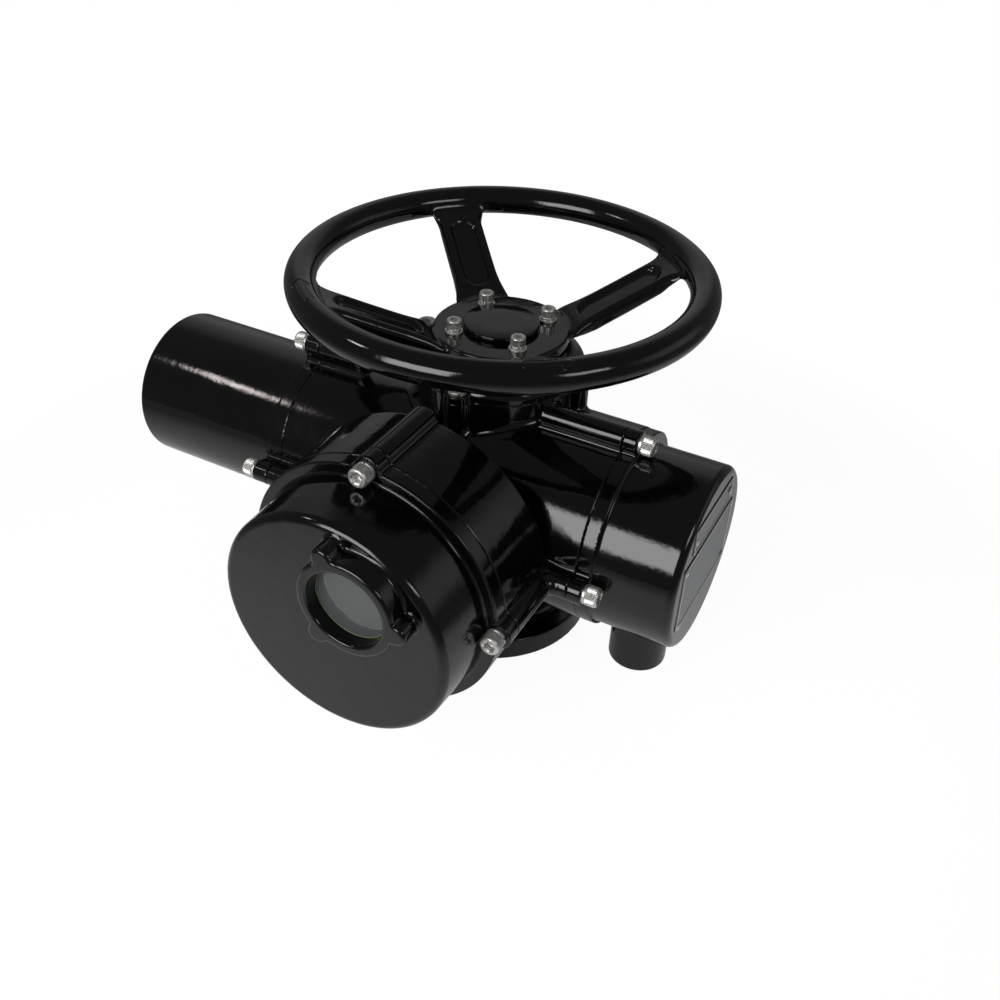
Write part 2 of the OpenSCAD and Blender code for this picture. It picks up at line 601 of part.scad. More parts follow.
// Spoke seen from the side: it leaves the hub plate level and climbs to the rim
function spoke_top() = [[28, hub_top], [hub_r + 1, hub_top], [hub_r + 7, hub_top + 1], [hub_r + 14, hub_top + 4],
    [rim_r - 12, rim_z - 7], [rim_r - 1, rim_z - 2]];
function spoke_low() = [[rim_r - 1, rim_z - 7], [rim_r - 7, rim_z - 15], [rim_r - 14, rim_z - 20.5], [hub_r + 20, hub_bottom + 1.4],
    [hub_r + 12, hub_bottom + 0.2], [28, hub_bottom + 0.2]];
module spoke_side(width) {
    translate([0, width / 2, 0]) rotate([90, 0, 0]) linear_extrude(height = width) polygon(concat(spoke_top(), spoke_low()));
}
// Spoke seen from above: parallel sides that flare into the rim
module spoke_plan() {
    w = spoke_w / 2;
    edge = concat([for (p = [[26, 9], [39, 8.6], [45, 5.2], [51, 2.4], [58, 0.7], [66, 0]]) [p[0], w + p[1]]],
        [for (p = [[-44, 0], [-38, 1.3], [-32, 4.2], [-26, 8.3], [-20, 12.2], [-14, 15.3], [-8, 17.5], [0, 19]]) [rim_r + p[0], w + p[1]]]);
    polygon(concat([for (p = edge) [p[0], -p[1]]], [for (i = [len(edge) - 1:-1:0]) edge[i]]));
}
module spoke() {
    difference() {
        intersection() {
            spoke_side(90);
            translate([0, 0, hub_bottom - 5]) linear_extrude(height = 80) spoke_plan();
        }
        // Round-ended channel along the top
        intersection() {
            translate([0, 0, -2.5]) spoke_channel();
            translate([0, 0, hub_bottom]) linear_extrude(height = 80) {
                translate([hub_r + 15, 0]) circle(r = channel_r);
                translate([rim_r - 26, 0]) circle(r = channel_r);
                translate([hub_r + 15, -channel_r + 0.05]) square([rim_r - hub_r - 41, 2 * channel_r - 0.1]);
            }
        }
    }
}
module spoke_channel() {
    translate([0, 20, 0]) rotate([90, 0, 0]) linear_extrude(height = 40) polygon([[hub_r + 2, hub_top - 1.4], [hub_r + 14, hub_top + 4],
        [rim_r - 12, rim_z - 7], [rim_r, rim_z - 1.6], [rim_r, rim_z + 30], [hub_r + 2, rim_z + 30]]);
}
module handwheel() {
    color("#202225") difference() {
        union() {
            rotate_extrude() translate([rim_r, rim_z]) difference() {
                circle(r = rim_d / 2);
                translate([-rim_d, -rim_d - rim_d * 0.42]) square([2 * rim_d, rim_d]);
            }
            translate([0, 0, hub_bottom]) cylinder(r = hub_r, h = hub_t);
            rotate([0, 0, spoke_angle]) for (a = [0:90:270]) rotate([0, 0, a]) spoke();
        }
        translate([0, 0, hub_bottom - 1]) cylinder(r = stem_r + 2, h = 60);
        rotate([0, 0, spoke_angle]) translate([0, 0, hub_bottom - 1]) ring4(hub_screw_circle) cylinder(r = hub_thread_r + 0.3, h = 30);
    }
}
module hub_cap() {
    color("#26282b") {
        translate([0, 0, hub_top]) rotate_extrude() polygon([[0, 0], [cap_r, 0], [cap_r, cap_h - 0.6], [cap_r - 0.6, cap_h], [0, cap_h]]);
        translate([0, 0, hub_top - 6]) cylinder(r = stem_r + 2 - seat_gap, h = 7);
    }
}
module hub_screws() {
    color("#c5c8cb") rotate([0, 0, spoke_angle]) ring4(hub_screw_circle)
        translate([0, 0, hub_top + hub_stack]) cap_screw(hub_thread_r, hub_head_r, hub_head_h, hub_stack + hub_t + 8);
}
module hub_washers() {
    color("#d0d2d4") rotate([0, 0, spoke_angle]) ring4(hub_screw_circle) {
        translate([0, 0, hub_top]) tube(hub_head_r + 1, hub_thread_r + 0.2, hub_washer_h);
        translate([0, 0, hub_top + hub_washer_h + seat_gap]) spring_washer(hub_head_r - 0.1, hub_thread_r + 0.1, hub_washer_h - seat_gap);
    }
}

module terminal_cover() {
    color("#26282b") difference() {
        union() {
            on_x() translate([0, 0, term_seam]) cylinder(r = term_barrel_r, h = term_flange);
            on_x() translate([0, 0, term_seam]) boss(term_boss_r, term_circle, term_flange, term_turns);
            on_x() translate([0, 0, term_seam + 0.3]) term_pad(term_flange - 0.6);
            on_x() round_end(term_r, term_r, term_seam + 2, term_end, 5);
            on_x() translate([0, 0, term_seam - 6]) cylinder(r = term_in - seat_gap, h = 8);
            translate([entry_x, -barrel_off, entry_z]) cylinder(r = entry_r, h = axis_h - entry_z - 20);
        }
        on_x() translate([0, 0, term_seam - 7]) cylinder(r = term_in - 5.5, h = 20);
        on_x() translate([0, 0, term_seam + 3]) cylinder(r = term_r - wall, h = term_end - wall - term_seam - 3);
        on_x() translate([0, 0, term_seam - 1]) ring4(term_circle, term_turns) cylinder(r = screw_r + 0.3, h = 40);
        on_x() translate([0, 0, term_seam + term_flange]) ring4(term_circle, term_turns) cylinder(r = head_r + 0.5, h = 12);
        on_x() translate([0, 0, term_seam - 3 - oring_r]) tube(term_in + 1, term_in - 2 * oring_r, 2 * oring_r);
        translate([entry_x, -barrel_off, entry_z - 1]) cylinder(r = entry_thread_r, h = 60);
        on_x() rivet_places() translate([0, 0, term_end - 3]) cylinder(r = 1.2 + seat_gap, h = 10, $fn = 24);
    }
}
// Children stand at the rivets: two on the small plate, four on the large one. Local X is minus Z
module rivet_places() {
    for (s = [-1, 1]) {
        translate([axis_h - small_plate_z, plate_mid_y + barrel_off + s * (small_plate_w / 2 - 3.2), 0]) children();
        for (t = [-1, 1])
            translate([axis_h - plate_mid_z + t * (plate_h / 2 - 3.2), plate_mid_y + barrel_off + s * (plate_w / 2 - 3.2), 0]) children();
    }
}
module terminal_cover_oring() { color("#151515") on_x() translate([0, 0, term_seam - 3]) oring(term_in - oring_r); }
module terminal_board() {
    color("#6d4a2f") on_x() difference() {
        translate([0, 0, term_step]) cylinder(r = term_in - 0.3, h = 8);
        translate([0, 0, term_step - 1]) ring4(term_in - 4) cylinder(r = 2 + seat_gap, h = 10, $fn = 24);
        translate([0, 0, term_step + 3]) stud_places() cylinder(r = 2 + seat_gap, h = 10, $fn = 24);
    }
}
module terminal_board_screws() { color("#b9bcc0") on_x() translate([0, 0, term_step + 8]) ring4(term_in - 4) cap_screw(2, 3.4, 3, 14); }
module stud_places() { for (y = [-36:12:36], x = [-26, 0, 26]) translate([x, y, 0]) children(); }
module terminal_studs() {
    color("#c9a545") on_x() translate([0, 0, term_step + 3]) stud_places() {
        cylinder(r = 2, h = 14, $fn = 24);
        translate([0, 0, 5]) cylinder(r = 4, h = 3, $fn = 6);
    }
}
module rivet_holes() { on_x() rivet_places() translate([0, 0, term_end - 1]) cylinder(r = 1.2 + seat_gap, h = 3, $fn = 24); }
module rating_plate_large() {
    color("#c0c3c6") difference() {
        translate([term_end, plate_mid_y - plate_w / 2, plate_mid_z - plate_h / 2]) cube([plate_t, plate_w, plate_h]);
        rivet_holes();
    }
}
module rating_plate_small() {
    color("#c0c3c6") difference() {
        translate([term_end, plate_mid_y - small_plate_w / 2, small_plate_z - small_plate_h / 2]) cube([plate_t, small_plate_w, small_plate_h]);
        rivet_holes();
    }
}
module plate_rivets() {
    color("#d5d7d9") on_x() rivet_places() {
        translate([0, 0, term_end - 2.9]) cylinder(r = 1.2, h = 4, $fn = 24);
        translate([0, 0, term_end + plate_t]) cylinder(r1 = 2.2, r2 = 1.4, h = 1);
    }
}

module top_cover_screws() { color("#c5c8cb") translate([0, 0, neck_z + top_flange]) ring4(neck_circle) cover_screw(screw_len - 5); }
module control_cover_screws() { color("#c5c8cb") on_front() translate([0, 0, drum_seam + cover_flange]) ring4(drum_circle) cover_screw(screw_len); }
module motor_cover_screws() { color("#c5c8cb") on_motor() translate([0, 0, motor_seam + motor_flange]) ring4(motor_circle) cover_screw(screw_len); }
module terminal_cover_screws() { color("#c5c8cb") on_x() translate([0, 0, term_seam + term_flange]) ring4(term_circle, term_turns) cover_screw(screw_len); }
module cover_washers() {
    color("#d0d2d4") {
        translate([0, 0, neck_z + top_flange]) ring4(neck_circle) spring_washer(washer_r, screw_r + 0.1, washer_h);
        on_front() translate([0, 0, drum_seam + cover_flange]) ring4(drum_circle) spring_washer(washer_r, screw_r + 0.1, washer_h);
        on_motor() translate([0, 0, motor_seam + motor_flange]) ring4(motor_circle) spring_washer(washer_r, screw_r + 0.1, washer_h);
        on_x() translate([0, 0, term_seam + term_flange]) ring4(term_circle, term_turns) spring_washer(washer_r, screw_r + 0.1, washer_h);
    }
}

gearcase();
top_cover();
top_cover_oring();
top_bearing();
top_seal();
base_bearing();
base_seal();
control_cover();
control_cover_oring();
window_glass();
glass_retainer();
retainer_screws();
display_module();
display_pillars();
control_board();
board_pillars();
board_screws();
transformer();
motor_cover();
motor_cover_oring();
motor_end_shield();
motor_bearings();
stator_core();
stator_windings();
motor_shaft();
rotor_core();
motor_pinion();
worm_shaft();
worm_bearings();
reduction_gear();
worm_wheel();
drive_sleeve();
wheel_circlip();
drive_bush();
clutch_ring();
hand_shaft();
handwheel();
hub_cap();
hub_screws();
hub_washers();
terminal_cover();
terminal_cover_oring();
terminal_board();
terminal_board_screws();
terminal_studs();
rating_plate_large();
rating_plate_small();
plate_rivets();
top_cover_screws();
control_cover_screws();
motor_cover_screws();
terminal_cover_screws();
cover_washers();
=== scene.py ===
"""Looks of an electric valve actuator: gloss black castings, stainless screws, window, plates."""
import math

import bpy
import numpy as np
from mathutils import Matrix, Vector


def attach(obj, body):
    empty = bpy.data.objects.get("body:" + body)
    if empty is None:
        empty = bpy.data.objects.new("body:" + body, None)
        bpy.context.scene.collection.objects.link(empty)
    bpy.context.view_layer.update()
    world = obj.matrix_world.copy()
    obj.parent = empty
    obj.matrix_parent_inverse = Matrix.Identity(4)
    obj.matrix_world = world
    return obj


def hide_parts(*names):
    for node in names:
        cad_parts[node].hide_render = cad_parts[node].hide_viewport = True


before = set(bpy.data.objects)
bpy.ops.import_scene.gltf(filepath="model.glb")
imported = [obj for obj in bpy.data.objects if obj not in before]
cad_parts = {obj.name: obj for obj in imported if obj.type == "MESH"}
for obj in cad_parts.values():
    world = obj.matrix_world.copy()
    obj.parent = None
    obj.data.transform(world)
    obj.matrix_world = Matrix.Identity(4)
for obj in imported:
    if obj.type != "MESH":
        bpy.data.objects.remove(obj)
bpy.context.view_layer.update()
MM = 0.001

# Places in the frame, millimetres, as in the part's source: height of the barrels' axis, and
# how far the barrels and the worm lie in front of the drive's axis
AXIS_H = 126.0
BARREL_OFF = 29.3
WORM_OFF = 57.8
QUARTERS = (0, 90, 180, 270)


def new_object(name, data):
    obj = bpy.data.objects.new(name, data)
    bpy.context.scene.collection.objects.link(obj)
    return obj


# ---------------- materials
WHITE = (1, 1, 1, 1)
CLEAR_IOR = 1.5


def new_material(name):
    mat = bpy.data.materials.new(name)
    mat.use_nodes = True
    nodes, links = mat.node_tree.nodes, mat.node_tree.links
    return mat, nodes, links, nodes["Principled BSDF"]


def noise(nodes, links, scale, detail=3.0, rough=0.5):
    coord = nodes.new("ShaderNodeTexCoord")
    tex = nodes.new("ShaderNodeTexNoise")
    tex.inputs["Scale"].default_value = scale
    tex.inputs["Detail"].default_value = detail
    tex.inputs["Roughness"].default_value = rough
    links.new(coord.outputs["Object"], tex.inputs["Vector"])
    return tex.outputs["Fac"]


def ramp(nodes, links, source, socket, low, high, start=0.35, end=0.65):
    """Sends the source into the socket as a colour between low and high."""
    node = nodes.new("ShaderNodeValToRGB")
    node.color_ramp.elements[0].position = start
    node.color_ramp.elements[1].position = end
    node.color_ramp.elements[0].color = low
    node.color_ramp.elements[1].color = high
    links.new(source, node.inputs["Fac"])
    links.new(node.outputs["Color"], socket)


def grey(v):
    return (v, v, v, 1.0)


def bump(nodes, links, bsdf, height, strength, distance, normal=None):
    node = nodes.new("ShaderNodeBump")
    node.inputs["Strength"].default_value = strength
    node.inputs["Distance"].default_value = distance
    links.new(height, node.inputs["Height"])
    if normal is not None:
        links.new(normal, node.inputs["Normal"])
    links.new(node.outputs["Normal"], bsdf.inputs["Normal"])
    return node.outputs["Normal"]


def gloss_paint(name, colour, rough_low, rough_high, peel):
    """Thick stoved paint on a casting: deep colour, soft orange peel and a little dust."""
    mat, nodes, links, bsdf = new_material(name)
    dust = noise(nodes, links, 38.0, detail=6.0, rough=0.6)
    dusty = grey(colour * 1.7)
    ramp(nodes, links, dust, bsdf.inputs["Base Color"], grey(colour), dusty, 0.45, 0.75)
    wear = noise(nodes, links, 14.0, detail=5.0, rough=0.55)
    ramp(nodes, links, wear, bsdf.inputs["Roughness"], grey(rough_low), grey(rough_high))
    bsdf.inputs["IOR"].default_value = CLEAR_IOR
    fine = noise(nodes, links, 420.0, detail=2.0, rough=0.4)
    wave = noise(nodes, links, 60.0, detail=2.0, rough=0.4)
    first = bump(nodes, links, bsdf, wave, 0.35, 0.00035 * peel)
    bump(nodes, links, bsdf, fine, 0.30, 0.00006 * peel, first)
    return mat


def brushed(name, colour, rough, scale=900.0, metallic=1.0):
    """Bright metal with fine working marks."""
    mat, nodes, links, bsdf = new_material(name)
    grain = noise(nodes, links, scale, rough=0.6)
    low, high = [c * 0.72 for c in colour] + [1.0], list(colour) + [1.0]
    ramp(nodes, links, grain, bsdf.inputs["Base Color"], low, high, 0.3, 0.6)
    ramp(nodes, links, grain, bsdf.inputs["Roughness"], grey(rough * 0.75), grey(rough * 1.25))
    bsdf.inputs["Metallic"].default_value = metallic
    bump(nodes, links, bsdf, grain, 0.25, 0.00004)
    return mat


def moulded(name, colour, rough, scale=500.0, fleck=0.2):
    """Rubber or plastic with a fine moulded grain."""
    mat, nodes, links, bsdf = new_material(name)
    grain = noise(nodes, links, scale, detail=4.0, rough=0.6)
    low = [c * (1 - fleck) for c in colour] + [1.0]
    high = [min(1.0, c * (1 + fleck)) for c in colour] + [1.0]
    ramp(nodes, links, grain, bsdf.inputs["Base Color"], low, high)
    bsdf.inputs["Roughness"].default_value = rough
    bump(nodes, links, bsdf, grain, 0.3, 0.00005)
    return mat


def window_pane(name):
    """A smoked pane: grey in itself, and the display shows through it faintly."""
    mat, nodes, links, bsdf = new_material(name)
    smear = noise(nodes, links, 60.0)
    ramp(nodes, links, smear, bsdf.inputs["Roughness"], grey(0.02), grey(0.07))
    bsdf.inputs["Base Color"].default_value = (0.31, 0.33, 0.335, 1.0)
    bsdf.inputs["Transmission Weight"].default_value = 0.72
    bsdf.inputs["IOR"].default_value = CLEAR_IOR
    return mat


PAINT = gloss_paint("black_gloss_paint", 0.0018, rough_low=0.06, rough_high=0.13, peel=2.0)
STAINLESS = brushed("stainless", (0.80, 0.79, 0.765), 0.40, metallic=0.92)
STEEL = brushed("steel", (0.50, 0.50, 0.51), 0.32)
SPRING = brushed("spring_steel", (0.16, 0.16, 0.17), 0.35)
PLATE = brushed("plate_metal", (0.24, 0.25, 0.26), 0.36)
BRONZE = brushed("bronze", (0.62, 0.42, 0.20), 0.33)
BRASS = brushed("brass", (0.72, 0.55, 0.24), 0.28)
COPPER = brushed("copper_wire", (0.55, 0.25, 0.12), 0.38, scale=1600.0)
RUBBER = moulded("rubber", (0.012, 0.012, 0.012), 0.6)
GREEN = moulded("board_green", (0.02, 0.12, 0.05), 0.45)
PHENOLIC = moulded("phenolic", (0.12, 0.06, 0.03), 0.5)
DISPLAY = moulded("display_grey", (0.10, 0.105, 0.108), 0.40, scale=300.0, fleck=0.06)
SCREEN = moulded("display_screen", (0.135, 0.14, 0.145), 0.25, scale=90.0, fleck=0.05)
GLASS_EDGE = moulded("glass_edge", (0.16, 0.22, 0.08), 0.25, scale=400.0, fleck=0.15)
GLASS = window_pane("window_glass")

NODE_MATERIALS = {
    PAINT: ["gearcase", "top_cover", "control_cover", "motor_cover", "terminal_cover",
            "handwheel", "hub_cap"],
    STAINLESS: ["retainer_screws", "board_screws", "hub_screws", "hub_washers",
                "terminal_board_screws", "plate_rivets", "top_cover_screws",
                "control_cover_screws", "motor_cover_screws", "terminal_cover_screws",
                "cover_washers"],
    STEEL: ["top_bearing", "base_bearing", "motor_bearings", "worm_bearings", "transformer",
            "stator_core", "motor_shaft", "rotor_core", "motor_pinion", "worm_shaft",
            "drive_sleeve", "clutch_ring", "hand_shaft"],
    SPRING: ["wheel_circlip"],
    PLATE: ["glass_retainer", "motor_end_shield", "rating_plate_large", "rating_plate_small"],
    BRONZE: ["reduction_gear", "worm_wheel", "drive_bush"],
    BRASS: ["display_pillars", "board_pillars", "terminal_studs"],
    COPPER: ["stator_windings"],
    RUBBER: ["top_cover_oring", "control_cover_oring", "motor_cover_oring",
             "terminal_cover_oring", "top_seal", "base_seal"],
    GREEN: ["control_board"],
    PHENOLIC: ["terminal_board"],
    DISPLAY: ["display_module"],
    GLASS: ["window_glass"],
}
for material, names in NODE_MATERIALS.items():
    for name in names:
        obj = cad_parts[name]
        if not obj.material_slots:
            obj.data.materials.append(material)
        for slot in obj.material_slots:
            slot.material = material


# ---------------- castings as distance fields
# Each casting is one field in millimetres, negative inside, with its fillets and rounded edges.
def capped(u, v, t, r, t0, t1, edge=0.0):
    """Cylinder of radius r from t0 to t1 along t, with its end edges rounded."""
    radial = np.hypot(u, v) - r + edge
    along = np.abs(t - (t0 + t1) / 2) - (t1 - t0) / 2 + edge
    outside = np.hypot(np.maximum(radial, 0), np.maximum(along, 0))
    return np.minimum(np.maximum(radial, along), 0) + outside - edge


def tapered(u, v, t, r0, r1, t0, t1, edge):
    """Cylinder whose radius goes from r0 at t0 to r1 at t1, with the edge at t1 rounded."""
    slope = (r1 - r0) / (t1 - t0)
    radial = (np.hypot(u, v) - (r0 + slope * (t - t0))) / math.hypot(1, slope)
    return np.maximum(meet(radial, t - t1, edge), t0 - t)


def groove(u, v, t, outer, inner, t0, t1):
    """Seat of a sealing ring: a ring from inner to outer radius between t0 and t1."""
    return np.maximum(capped(u, v, t, outer, t0, t1), inner - np.hypot(u, v))


def union(*fields):
    """Union with sharp corners."""
    whole = fields[0]
    for field in fields[1:]:
        whole = np.minimum(whole, field)
    return whole


def join(a, b, fillet):
    """Union with a round fillet in the corner."""
    corner = np.hypot(np.maximum(fillet - a, 0), np.maximum(fillet - b, 0))
    return np.maximum(fillet, np.minimum(a, b)) - corner


def meet(a, b, edge=0.0):
    """Intersection with a rounded edge."""
    if not edge:
        return np.maximum(a, b)
    corner = np.hypot(np.maximum(edge + a, 0), np.maximum(edge + b, 0))
    return np.minimum(-edge, np.maximum(a, b)) + corner


def cut(a, b, edge=0.0):
    """What is left of a outside b, with the new edge rounded."""
    return meet(a, -b, edge)


def turned(u, v, degrees):
    c, s = math.cos(math.radians(degrees)), math.sin(math.radians(degrees))
    return c * u + s * v, c * v - s * u


def four_times(part, u, v, first=0):
    """Union of a part, given in its own turned plane, at four quarter turns."""
    return union(*[part(*turned(u, v, first + turn)) for turn in QUARTERS])


# How a field becomes a mesh. Lengths are in grid steps, except where they say millimetres.
PROBE = 0.02  # millimetres between the samples of a slope
BLOCK = 4  # a coarse block holds this many cells along each side
NEAR, NEAR_MM = 1.45, 0.2  # a block whose middle is nearer to the surface is filled in detail
BATCH = 20000  # blocks filled at a time
FLAT_SHARE = 0.08  # directions weaker than this share of the strongest don't move a corner
REACH = 0.75  # how far a corner may go from the middle of its cell
LAST_PULL = 0.5  # and how far it may then be pulled onto the surface
MISS = 0.04  # a corner further from the surface than this is placed anew
SMOOTH_QUAD, SMOOTH_CORNER = 0.97, 0.93  # cosines above which normals count as one surface
SIDE_SHARE = 0.55  # the normal of one side is read this far from the quad's middle


def slope_of(field, points):
    """The field's unit gradient at each point, from four samples round it."""
    x, y, z = points[:, 0], points[:, 1], points[:, 2]
    total = np.zeros((len(points), 3))
    for sx, sy, sz in ((1, -1, -1), (-1, -1, 1), (-1, 1, -1), (1, 1, 1)):
        sample = field(x + sx * PROBE, y + sy * PROBE, z + sz * PROBE)
        total += sample[:, None] * np.array([sx, sy, sz])
    return total / np.maximum(np.linalg.norm(total, axis=1), 1e-9)[:, None]


def value_of(field, points):
    return field(points[:, 0], points[:, 1], points[:, 2])


def grid_values(field, axes, step):
    """The field on the grid. A block of cells far from the surface takes its middle's value."""
    counts = [(len(a) + BLOCK - 1) // BLOCK for a in axes]
    middles = [a[0] + (np.arange(n) * BLOCK + (BLOCK - 1) / 2) * step
               for a, n in zip(axes, counts)]
    coarse = field(*np.meshgrid(*middles, indexing="ij"))
    values = coarse
    for axis in range(3):
        values = np.repeat(values, BLOCK, axis)
    values = values.astype(np.float32)
    near = np.argwhere(np.abs(coarse) < NEAR * step * math.sqrt(3) * (BLOCK - 1) / 2 + NEAR_MM)
    inner = np.stack(np.meshgrid(*[np.arange(BLOCK)] * 3, indexing="ij"), -1).reshape(-1, 3)
    for first in range(0, len(near), BATCH):
        cells = near[first:first + BATCH, None, :] * BLOCK + inner[None]
        places = cells * step + np.array([a[0] for a in axes])
        at_places = field(places[..., 0], places[..., 1], places[..., 2])
        values[cells[..., 0], cells[..., 1], cells[..., 2]] = at_places
    return values[:len(axes[0]), :len(axes[1]), :len(axes[2])]


def surface_net(field, low, high, step):
    """Quads where the field changes sign, with one corner point per cell.

    It goes where the surfaces in that cell meet, so edges stay crisp.
    """
    axes = [np.arange(lo - 2.5 * step, hi + 3 * step, step) for lo, hi in zip(low, high)]
    origin = np.array([a[0] for a in axes])
    values = grid_values(field, axes, step)
    inside = values < 0
    nx, ny, nz = inside.shape
    cells = np.zeros((nx - 1, ny - 1, nz - 1), np.int8)
    for dx in (0, 1):
        for dy in (0, 1):
            for dz in (0, 1):
                cells += inside[dx:nx - 1 + dx, dy:ny - 1 + dy, dz:nz - 1 + dz]
    mixed = (cells > 0) & (cells < 8)
    index = np.full(mixed.shape, -1, np.int64)
    index[mixed] = np.arange(mixed.sum())
    where = np.argwhere(mixed)
    # For each cell: the sum of its crossings, and the sums that say where its surfaces meet
    count = np.zeros(len(where))
    total = np.zeros((len(where), 3))
    pull = np.zeros((len(where), 9))
    push = np.zeros((len(where), 3))
    quads = []
    for axis in range(3):
        u, v = [k for k in range(3) if k != axis]
        first = [slice(1, -1)] * 3
        first[axis] = slice(0, -1)
        second = list(first)
        second[axis] = slice(1, None)
        a, b = inside[tuple(first)], inside[tuple(second)]
        hit = np.argwhere(a != b) + np.array([0 if k == axis else 1 for k in range(3)])
        other = hit.copy()
        other[:, axis] += 1
        va = values[hit[:, 0], hit[:, 1], hit[:, 2]].astype(float)
        vb = values[other[:, 0], other[:, 1], other[:, 2]].astype(float)
        point = hit * step + origin
        point[:, axis] += va / (va - vb) * step
        normal = slope_of(field, point)
        outer = (normal[:, :, None] * normal[:, None, :]).reshape(-1, 9)
        reach = normal * (normal * point).sum(1)[:, None]
        corners = []
        for du, dv in ((0, 0), (-1, 0), (-1, -1), (0, -1)):
            cell = hit.copy()
            cell[:, u] += du
            cell[:, v] += dv
            at_cell = index[cell[:, 0], cell[:, 1], cell[:, 2]]
            corners.append(at_cell)
            count += np.bincount(at_cell, minlength=len(where))
            for k in range(3):
                total[:, k] += np.bincount(at_cell, point[:, k], len(where))
                push[:, k] += np.bincount(at_cell, reach[:, k], len(where))
            for k in range(9):
                pull[:, k] += np.bincount(at_cell, outer[:, k], len(where))
        quad = np.stack(corners, 1)
        turn_back = (va < 0) == (axis == 1)
        quad[turn_back] = quad[turn_back][:, ::-1]
        quads.append(quad)
    pull = pull.reshape(-1, 3, 3)
    middle = total / np.maximum(count, 1)[:, None]
    left = push - (pull @ middle[:, :, None])[:, :, 0]
    size, turn = np.linalg.eigh(pull)
    weight = np.where(size > FLAT_SHARE * size[:, 2:3], 1 / np.maximum(size, 1e-9), 0)
    back = np.swapaxes(turn, 1, 2) @ left[:, :, None]
    move = (turn @ (weight[:, :, None] * back))[:, :, 0]
    centre = (where + 0.5) * step + origin
    points = np.clip(middle + move, centre - REACH * step, centre + REACH * step)
    off = np.clip(value_of(field, points), -LAST_PULL * step, LAST_PULL * step)
    points = points - slope_of(field, points) * off[:, None]
    # Where that point missed the surface, the middle of the cell's crossings is used
    missed = np.abs(value_of(field, points)) > MISS * step
    spare = middle[missed]
    points[missed] = spare - slope_of(field, spare) * value_of(field, spare)[:, None]
    return points, np.concatenate(quads)


def corner_normals(field, points, quads):
    """One normal per quad corner: the surface's own, or where an edge runs its side's."""
    own = slope_of(field, points)[quads]
    normals = own.copy()
    bent = (own * own[:, [1, 2, 3, 0]]).sum(axis=2).min(axis=1) < SMOOTH_QUAD
    mid = points[quads[bent]].mean(axis=1)
    near = points[quads[bent]] * SIDE_SHARE + mid[:, None, :] * (1 - SIDE_SHARE)
    side = slope_of(field, near.reshape(-1, 3)).reshape(-1, 4, 3)
    sharp = (own[bent] * side).sum(axis=2) < SMOOTH_CORNER
    normals[bent] = np.where(sharp[:, :, None], side, own[bent])
    return normals


def cast_piece(node, field, low, high, step, body):
    """A casting's mesh from its field, in place of the CAD node."""
    name = node + "_casting"
    points, quads = surface_net(field, low, high, step)
    normals = corner_normals(field, points, quads)
    mesh = bpy.data.meshes.new(name)
    mesh.vertices.add(len(points))
    mesh.vertices.foreach_set("co", (points * MM).astype(np.float32).ravel())
    mesh.loops.add(len(quads) * 4)
    mesh.loops.foreach_set("vertex_index", quads.astype(np.int32).ravel())
    mesh.polygons.add(len(quads))
    mesh.polygons.foreach_set("loop_start", np.arange(0, len(quads) * 4, 4, dtype=np.int32))
    mesh.update(calc_edges=True)
    mesh.polygons.foreach_set("use_smooth", np.ones(len(quads), bool))
    mesh.normals_split_custom_set(normals.reshape(-1, 3).tolist())
    mesh.materials.append(PAINT)
    piece = new_object(name, mesh)
    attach(piece, body)
    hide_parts(node)


# Sizes of the castings, millimetres, as in the part's source. A seam is the joint to the cover,
# a flange the outer face of the cover's flange, and a circle the radius of the screws' circle.
FOOT_R, FOOT_H, MOUNT_CIRCLE, MOUNT_R = 75, 17.5, 62.5, 6
COLUMN_R, NECK_Z, TOP_SEAT, TOP_Z = 57.0, 206.0, 211.0, 222.8
MOTOR_R, MOTOR_SEAM, MOTOR_FLANGE, MOTOR_END, MOTOR_CIRCLE = 57.0, 124.0, 135.5, 256.6, 68.0
TERM_R, TERM_SEAM, TERM_FLANGE, TERM_END, TERM_CIRCLE = 64.0, 105.5, 115.2, 168.5, 70.0
DRUM_R, DRUM_BACK, DRUM_SEAM, DRUM_FLANGE, DRUM_CIRCLE = 87.0, 95.0, 149.0, 159.8, 86.5
CONTROL_END = 203.0
PAD_Y, PAD_Z, PAD_R, PAD_START, PAD_EASE = 22.3, 20.07, 40, 44, 6
WINDOW_X, WINDOW_Z, WINDOW_R, WINDOW_END = 20.48, 34.48, 32, 217
EAR_ANGLE, EAR_CIRCLE, EAR_R = -6.5, 33, 6.8
ENTRY_X, ENTRY_Z = 133.0, 25.5
NECK_BOSS_R, MOTOR_BOSS_R, TERM_BOSS_R, DRUM_BOSS_R = 8, 7.5, 8, 9
NECK_BOSS_LOW, MOTOR_BOSS_START, TERM_BOSS_START = 144, 93, 50
SCREW_HOLE_R, HEAD_ROOM_R, HEAD_ROOM = 4.3, 7, 12
EDGE, SEAM_EDGE = 0.9, 0.6
UNDER, FAR = -9, 300  # ends of a cut beyond the part

# The screws of the terminal cover stand at these turns from straight down. Their places are
# across (Y) and up (Z) from the barrel's axis.
TERM_TURNS = (32, 90, 180, 270)
TERM_PLACES = [(TERM_CIRCLE * math.sin(math.radians(turn)),
                -TERM_CIRCLE * math.cos(math.radians(turn))) for turn in TERM_TURNS]


def ring_of(u, v, circle, r, reach=None):
    """Endless round bars on a circle, and with reach also the webs that tie them to a barrel."""
    def bar_at(p, q):
        bar = np.hypot(p - circle, q) - r
        if reach:
            along = np.abs(p - (circle + reach) / 2) - (circle - reach) / 2
            bar = join(bar, np.maximum(along, np.abs(q) - r + 2), 2)
        return bar
    return four_times(bar_at, u, v)


